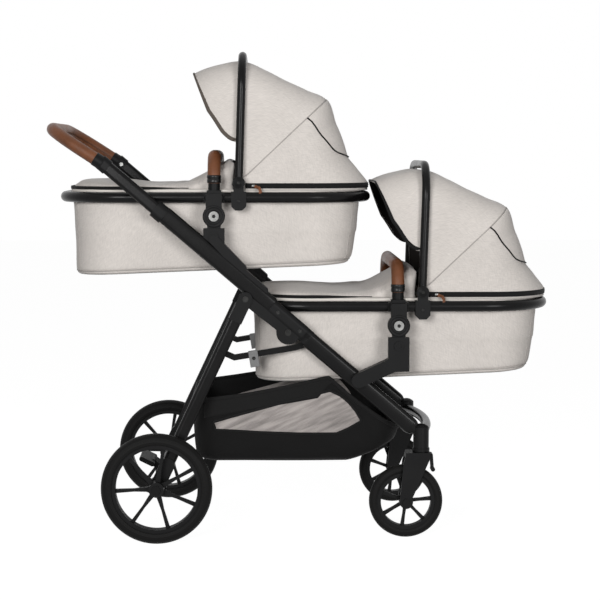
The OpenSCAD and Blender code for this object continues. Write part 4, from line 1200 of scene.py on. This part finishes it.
def tube_skin(start, end, rise, tall, y, tip):
    """Full oval of a tube between two distances from the fold, narrowed over its last tip millimetres."""
    s = np.concatenate([[start], np.linspace(start + 1, end - tip, 12), np.linspace(end - tip, end, 8)[1:]])
    axis = TUBE_START + (AXLE_X, y, 0) + s[:, None] * TUBE_DOWN + rise * TUBE_UP
    skin = sweep(axis, stadium(tall, TUBE_HALF), TUBE_UP)
    share = 1 - 0.22 * np.clip((s - end + tip) / tip, 0, 1) ** 2
    return capped(axis[:, None] + (skin - axis[:, None]) * share[:, None, None])


# Tube skins: name, body, start, end, rise, half height, distance from the middle plane, length of the tip
TUBES = (
    ("main_tube_skins", "upper_frame", -428, -72, 2.2, 21.75, 246, 4),
    ("front_leg_skins", "front_frame", 52, 408, -4.2, 21.5, 219, 16),
)


class PRAM_OT_tubes(Operator):
    """Draw the full oval of the main tubes and the front legs over their cores"""

    bl_idname = "pram.tubes"
    bl_label = "Tubes"

    def execute(self, context):
        for name, body, start, end, rise, tall, y, tip in TUBES:
            skins = [tube_skin(start, end, rise, tall, s * y, tip) for s in (-1, 1)]
            dress(name, skins, "satin black", body)
        return {"FINISHED"}


# Basket

BASKET_BACK = AXLE_X + 86.0
BASKET_NOSE = AXLE_X + 482.0
BASKET_FRONT = AXLE_X + 618.0
BASKET_PEAK = AXLE_X + 435.0
BASKET_Y = 196.0
BASKET_FLOOR = 188.0
BASKET_TOPS = (347.0, 409.0)


def basket_low(x):
    """Height of the basket's bottom: level, then rising under the nose."""
    t = np.clip((x - BASKET_NOSE) / (BASKET_FRONT - BASKET_NOSE), 0, 1)
    return BASKET_FLOOR + 58 * t**1.3


def basket_high(x):
    """Height of the basket's edge: rising from the rear to the peak, then falling to the nose."""
    up = BASKET_TOPS[0] + (BASKET_TOPS[1] - BASKET_TOPS[0]) * (x - BASKET_BACK) / (BASKET_PEAK - BASKET_BACK)
    t = (x - BASKET_PEAK) / (BASKET_FRONT - BASKET_PEAK)
    down = BASKET_TOPS[1] - (BASKET_TOPS[1] - BASKET_FLOOR - 84) * t
    return np.minimum(up, down)


def wall_draw(x, z, share):
    """How far the slack wall draws in at a share of its height: a bow with slanting folds, more at the nose."""
    wall = np.clip(share / 0.1, 0, 1) * (1 - 0.75 * share)
    folds = np.sin(x / 23 + z / 31) + 0.7 * np.sin(x / 41 - z / 19 + 1)
    slope = np.clip((x - BASKET_NOSE + 25) / 90, 0, 1)
    return wall * (3 + 1.6 * folds + 2.2 * slope * np.sin((x + 1.3 * z) / 15))


def basket_grid(shares, insets, count):
    """Basket: outlines at shares of its height, drawn in by insets, with slack folds and sagging edges."""
    inset = np.asarray(insets, float)
    corner = np.clip(60 - inset / 2, 0, None)
    flat = oblong(BASKET_BACK + inset, BASKET_FRONT - inset, BASKET_Y - inset, corner, count)
    x, y = flat[..., 0], flat[..., 1]
    share = np.asarray(shares, float)[:, None]
    sag = 7 * np.sin(np.pi * np.clip((x - BASKET_BACK) / (BASKET_PEAK - BASKET_BACK), 0, 1))
    sag = sag + 9 * np.sin(np.pi * np.clip((x - BASKET_PEAK) / (BASKET_FRONT - BASKET_PEAK), 0, 1))
    z = basket_low(x) + share * (basket_high(x) - basket_low(x)) - share**2 * sag
    y = y - np.sign(y) * wall_draw(x, z, share)
    z = z - (1 - np.clip(share / 0.05, 0, 1)) * (3 * np.cos(x / 90) * np.cos(y / 120) + 2)
    return np.stack([x, y, z], -1)


# Corners of the net windows in the side view: distance from the rear axle, height
NET_OUTLINE = np.array(
    [
        (140, 294), (217, 316), (327, 346), (439, 374), (465, 362), (485, 346), (505, 322),
        (520, 296), (489, 277), (457, 263), (363, 263), (247, 268), (146, 274),
    ],
    float,
) + (AXLE_X, 0)


def on_wall(x, z, side, out):
    """Points of the basket's wall at places of the side view, on the side given by its sign, moved out."""
    share = np.clip((z - basket_low(x)) / (basket_high(x) - basket_low(x)), 0, 1)
    inset = pchip(share, [0, 0.05, 0.35, 1], [34, 14, 4, 0])
    back = np.clip((BASKET_BACK + 60 - x) / 60, 0, 1)
    front = np.clip((x - BASKET_FRONT + 60) / 60, 0, 1)
    bend = 60 * (1 - np.sqrt(1 - back**2)) + 60 * (1 - np.sqrt(1 - front**2))
    return np.stack([x, side * (BASKET_Y - inset - bend - wall_draw(x, z, share) + out), z], -1)


class PRAM_OT_basket(Operator):
    """Hang the cloth basket between the legs, with its edge tape, top band and net windows"""

    bl_idname = "pram.basket"
    bl_label = "Basket"

    def execute(self, context):
        shares = [0, 0, 0, 0.02, 0.05, 0.09, 0.15, 0.24, 0.35, 0.5, 0.65, 0.8, 0.92, 1.0]
        insets = [195.9, 120, 50, 26, 14, 10, 7.5, 5.5, 4, 2.6, 1.6, 0.8, 0.3, 0]
        grid = basket_grid(shares, insets, 301)
        shell = surface("basket_cloth", grid, (0, 0, 330), ["basket cloth"] * 2)
        thickened(shell, 2.2)
        trim = [looped(basket_grid([1.0], [0.0], 301)[0], ring(5, 2.2, 12, 0.6))]
        x = np.linspace(BASKET_BACK + 30, BASKET_PEAK + 12, 60)[None, :]
        drop = np.linspace(2, 46, 10)[:, None] * np.clip((BASKET_PEAK + 14 - x) / 40, 0.05, 1)
        outline = resampled(np.concatenate([NET_OUTLINE, NET_OUTLINE[:1]]), 121)
        middle = outline[:-1].mean(0)
        window = middle + (outline - middle) * np.linspace(0, 1, 16)[:, None, None]
        bands, nets = [], []
        for s in (-1, 1):
            bands.append(on_wall(x + 0 * drop, basket_high(x) - drop - 3, s, 1.6))
            nets += [on_wall(*window.transpose(2, 0, 1), s, out) for out in (1.2, -3.2)]
            trim.append(looped(on_wall(*outline.T, s, 1.4), ring(1.3, 3.2, 10, 0.7), (0, s, 0)))
        tape = surface("basket_tape", trim, finish="tape")
        net = surface("basket_net", nets, (0, 0, 320), ["grey net"] * 2)
        band = surface("basket_band", bands, (0, 0, 320), ["tape"] * 2)
        thickened(net, 0.8)
        thickened(band, 1.2)
        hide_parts("basket")
        for piece in (shell, tape, net, band):
            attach(piece, "rear_frame")
            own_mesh(piece)
        return {"FINISHED"}


# Webbing loop in its own plane: distance out and up from the stay bar, from one tail over the bar to the other
LOOP = [(5.6, -32), (5.8, -14), (6.0, 9.0), (-6.0, 9.0), (-5.8, -14), (-4.8, -32)]
STAY_Y = 201.0
STAY_SLOPE = np.arctan2(24.5, 156.0)


class PRAM_OT_webbing(Operator):
    """Wrap the webbing loops round the stay bars, each with its tail and rivet"""

    bl_idname = "pram.webbing"
    bl_label = "Webbing"

    def execute(self, context):
        middle = node_middle("fold_strap")
        ahead = np.array([np.cos(STAY_SLOPE), 0, np.sin(STAY_SLOPE)])
        up = np.array([-np.sin(STAY_SLOPE), 0, np.cos(STAY_SLOPE)])
        loops, rivets = [], []
        for s in (-1, 1):
            base = np.array([middle[0], s * STAY_Y, middle[2] + 7.0])
            out = np.array([0, s, 0])
            path = rounded([base + out * a + up * b for a, b in LOOP], [40, 2.6, 2.6, 40], 8)
            path = resampled(path, 60)
            inside = path - (base - up * 10)
            inside = inside - (inside @ ahead)[:, None] * ahead
            loops.append(capped(sweep(path, ring(0.9, 11.8, 16, 0.35), inside)))
            rivets.append(facing(screw(4.6), s) + base + out * 6.6 - up * 9.5)
        straps = dress("stay_webbing", loops, "grey webbing", "stay_bars")
        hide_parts("fold_strap")
        dress("stay_rivets", rivets, "dark steel", "stay_bars")
        return {"FINISHED"}


# Stage

CAMERA_PLACE = (AXLE_X * MM + 0.2696, -4.4103, 0.9858)
CAMERA_YAW = 0.02195
CAMERA_PITCH = 0.08953
# Lamps: name, place, aim, size, power
LAMPS = (
    ("key", (-1.5, -4.3, 1.6), (0, 0, 0.65), 1.8, 118),
    ("fill", (1.9, -4.2, 1.0), (0, 0, 0.6), 1.6, 84),
    ("top", (0.1, 0.3, 3.4), (0, 0, 0.6), 2.2, 6),
)


def seen(tree):
    """One for rays from the camera, a reflection or glass."""
    rays = ("Is Camera Ray", "Is Glossy Ray", "Is Transmission Ray")
    camera, glossy, glass = (add(tree, "ShaderNodeLightPath", {}, ray) for ray in rays)
    return camera.by("MAXIMUM", glossy).by("MAXIMUM", glass)


def floor_paint():
    """White paint that keeps a soft shadow: part reflects light, and part glows where it is seen."""
    material = bpy.data.materials.new("white floor")
    material.use_nodes = True
    tree = material.node_tree
    tree.nodes.remove(tree.nodes["Principled BSDF"])
    matt = add(tree, "ShaderNodeBsdfDiffuse", {"Color": (0.17, 0.17, 0.17, 1)})
    glow = add(tree, "ShaderNodeEmission", {"Strength": seen(tree) * 0.96})
    put(tree.nodes["Material Output"], {"Surface": add(tree, "ShaderNodeAddShader", {0: matt, 1: glow})})
    return material


def aimed(name, data, place, way):
    """Lamp or camera at a place, turned to look along a way."""
    holder = bpy.data.objects.new(name, data)
    holder.location = place
    holder.rotation_mode = "QUATERNION"
    holder.rotation_quaternion = Vector(way).to_track_quat("-Z", "Y")
    bpy.context.scene.collection.objects.link(holder)
    return holder


class PRAM_OT_stage(Operator):
    """Set the camera, the white floor and the soft studio lights"""

    bl_idname = "pram.stage"
    bl_label = "Stage"

    def execute(self, context):
        scene = context.scene
        scene.view_settings.view_transform = "Standard"
        camera = bpy.data.cameras.new("camera")
        camera.lens, camera.sensor_width = scene.pram_sizes.lens, 36.0
        camera.clip_end = 100
        level = math.cos(CAMERA_PITCH)
        way = (math.sin(CAMERA_YAW) * level, math.cos(CAMERA_YAW) * level, -math.sin(CAMERA_PITCH))
        scene.camera = aimed("camera", camera, CAMERA_PLACE, way)
        span = np.linspace(-14000, 14000, 9)
        x, y = np.meshgrid(span, span, indexing="ij")
        floor = surface("floor", np.stack([x, y, 0 * x - 0.4], -1), (0, 0, -500))
        floor.data.materials.append(floor_paint())
        world = scene.world = bpy.data.worlds.new("studio")
        world.use_nodes = True
        light = spread(seen(world.node_tree), 0.15, 1.0, 0.0, 1.0)
        put(world.node_tree.nodes["Background"], {"Color": (1, 1, 1, 1), "Strength": light})
        for name, place, aim, size, power in LAMPS:
            lamp = bpy.data.lights.new(name, "AREA")
            lamp.shape, lamp.size, lamp.energy = "DISK", size, power
            aimed(name, lamp, place, Vector(aim) - Vector(place))
        return {"FINISHED"}


class PRAM_PT_looks(Panel):
    """Lists the steps and sizes of the pram's looks"""

    bl_label = "Pram Looks"
    bl_idname = "PRAM_PT_looks"
    bl_space_type = "VIEW_3D"
    bl_region_type = "UI"
    bl_category = "Pram"

    def draw(self, context):
        for step in STEPS:
            self.layout.operator(step.bl_idname)
        for group in (context.scene.pram_sizes, context.scene.pram_colours):
            for name in group.__annotations__:
                self.layout.prop(group, name)


STEPS = (
    PRAM_OT_finishes,
    PRAM_OT_tubs,
    PRAM_OT_mattresses,
    PRAM_OT_aprons,
    PRAM_OT_hoods,
    PRAM_OT_hood_trim,
    PRAM_OT_leather,
    PRAM_OT_fittings,
    PRAM_OT_tubes,
    PRAM_OT_basket,
    PRAM_OT_webbing,
    PRAM_OT_stage,
)
CLASSES = (PramSizes, PramColours, *STEPS, PRAM_PT_looks)


def register():
    """Adds the classes and the two groups of properties."""
    for c in CLASSES:
        bpy.utils.register_class(c)
    bpy.types.Scene.pram_sizes = PointerProperty(type=PramSizes)
    bpy.types.Scene.pram_colours = PointerProperty(type=PramColours)


def unregister():
    """Takes the properties and the classes away again."""
    del bpy.types.Scene.pram_colours
    del bpy.types.Scene.pram_sizes
    for c in reversed(CLASSES):
        bpy.utils.unregister_class(c)


def main():
    register()
    bpy.ops.pram.finishes()
    bpy.ops.pram.tubs()
    bpy.ops.pram.mattresses()
    bpy.ops.pram.aprons()
    bpy.ops.pram.hoods()
    bpy.ops.pram.hood_trim()
    bpy.ops.pram.leather()
    bpy.ops.pram.fittings()
    bpy.ops.pram.tubes()
    bpy.ops.pram.basket()
    bpy.ops.pram.webbing()
    bpy.ops.pram.stage()


if __name__ == "__main__":
    main()
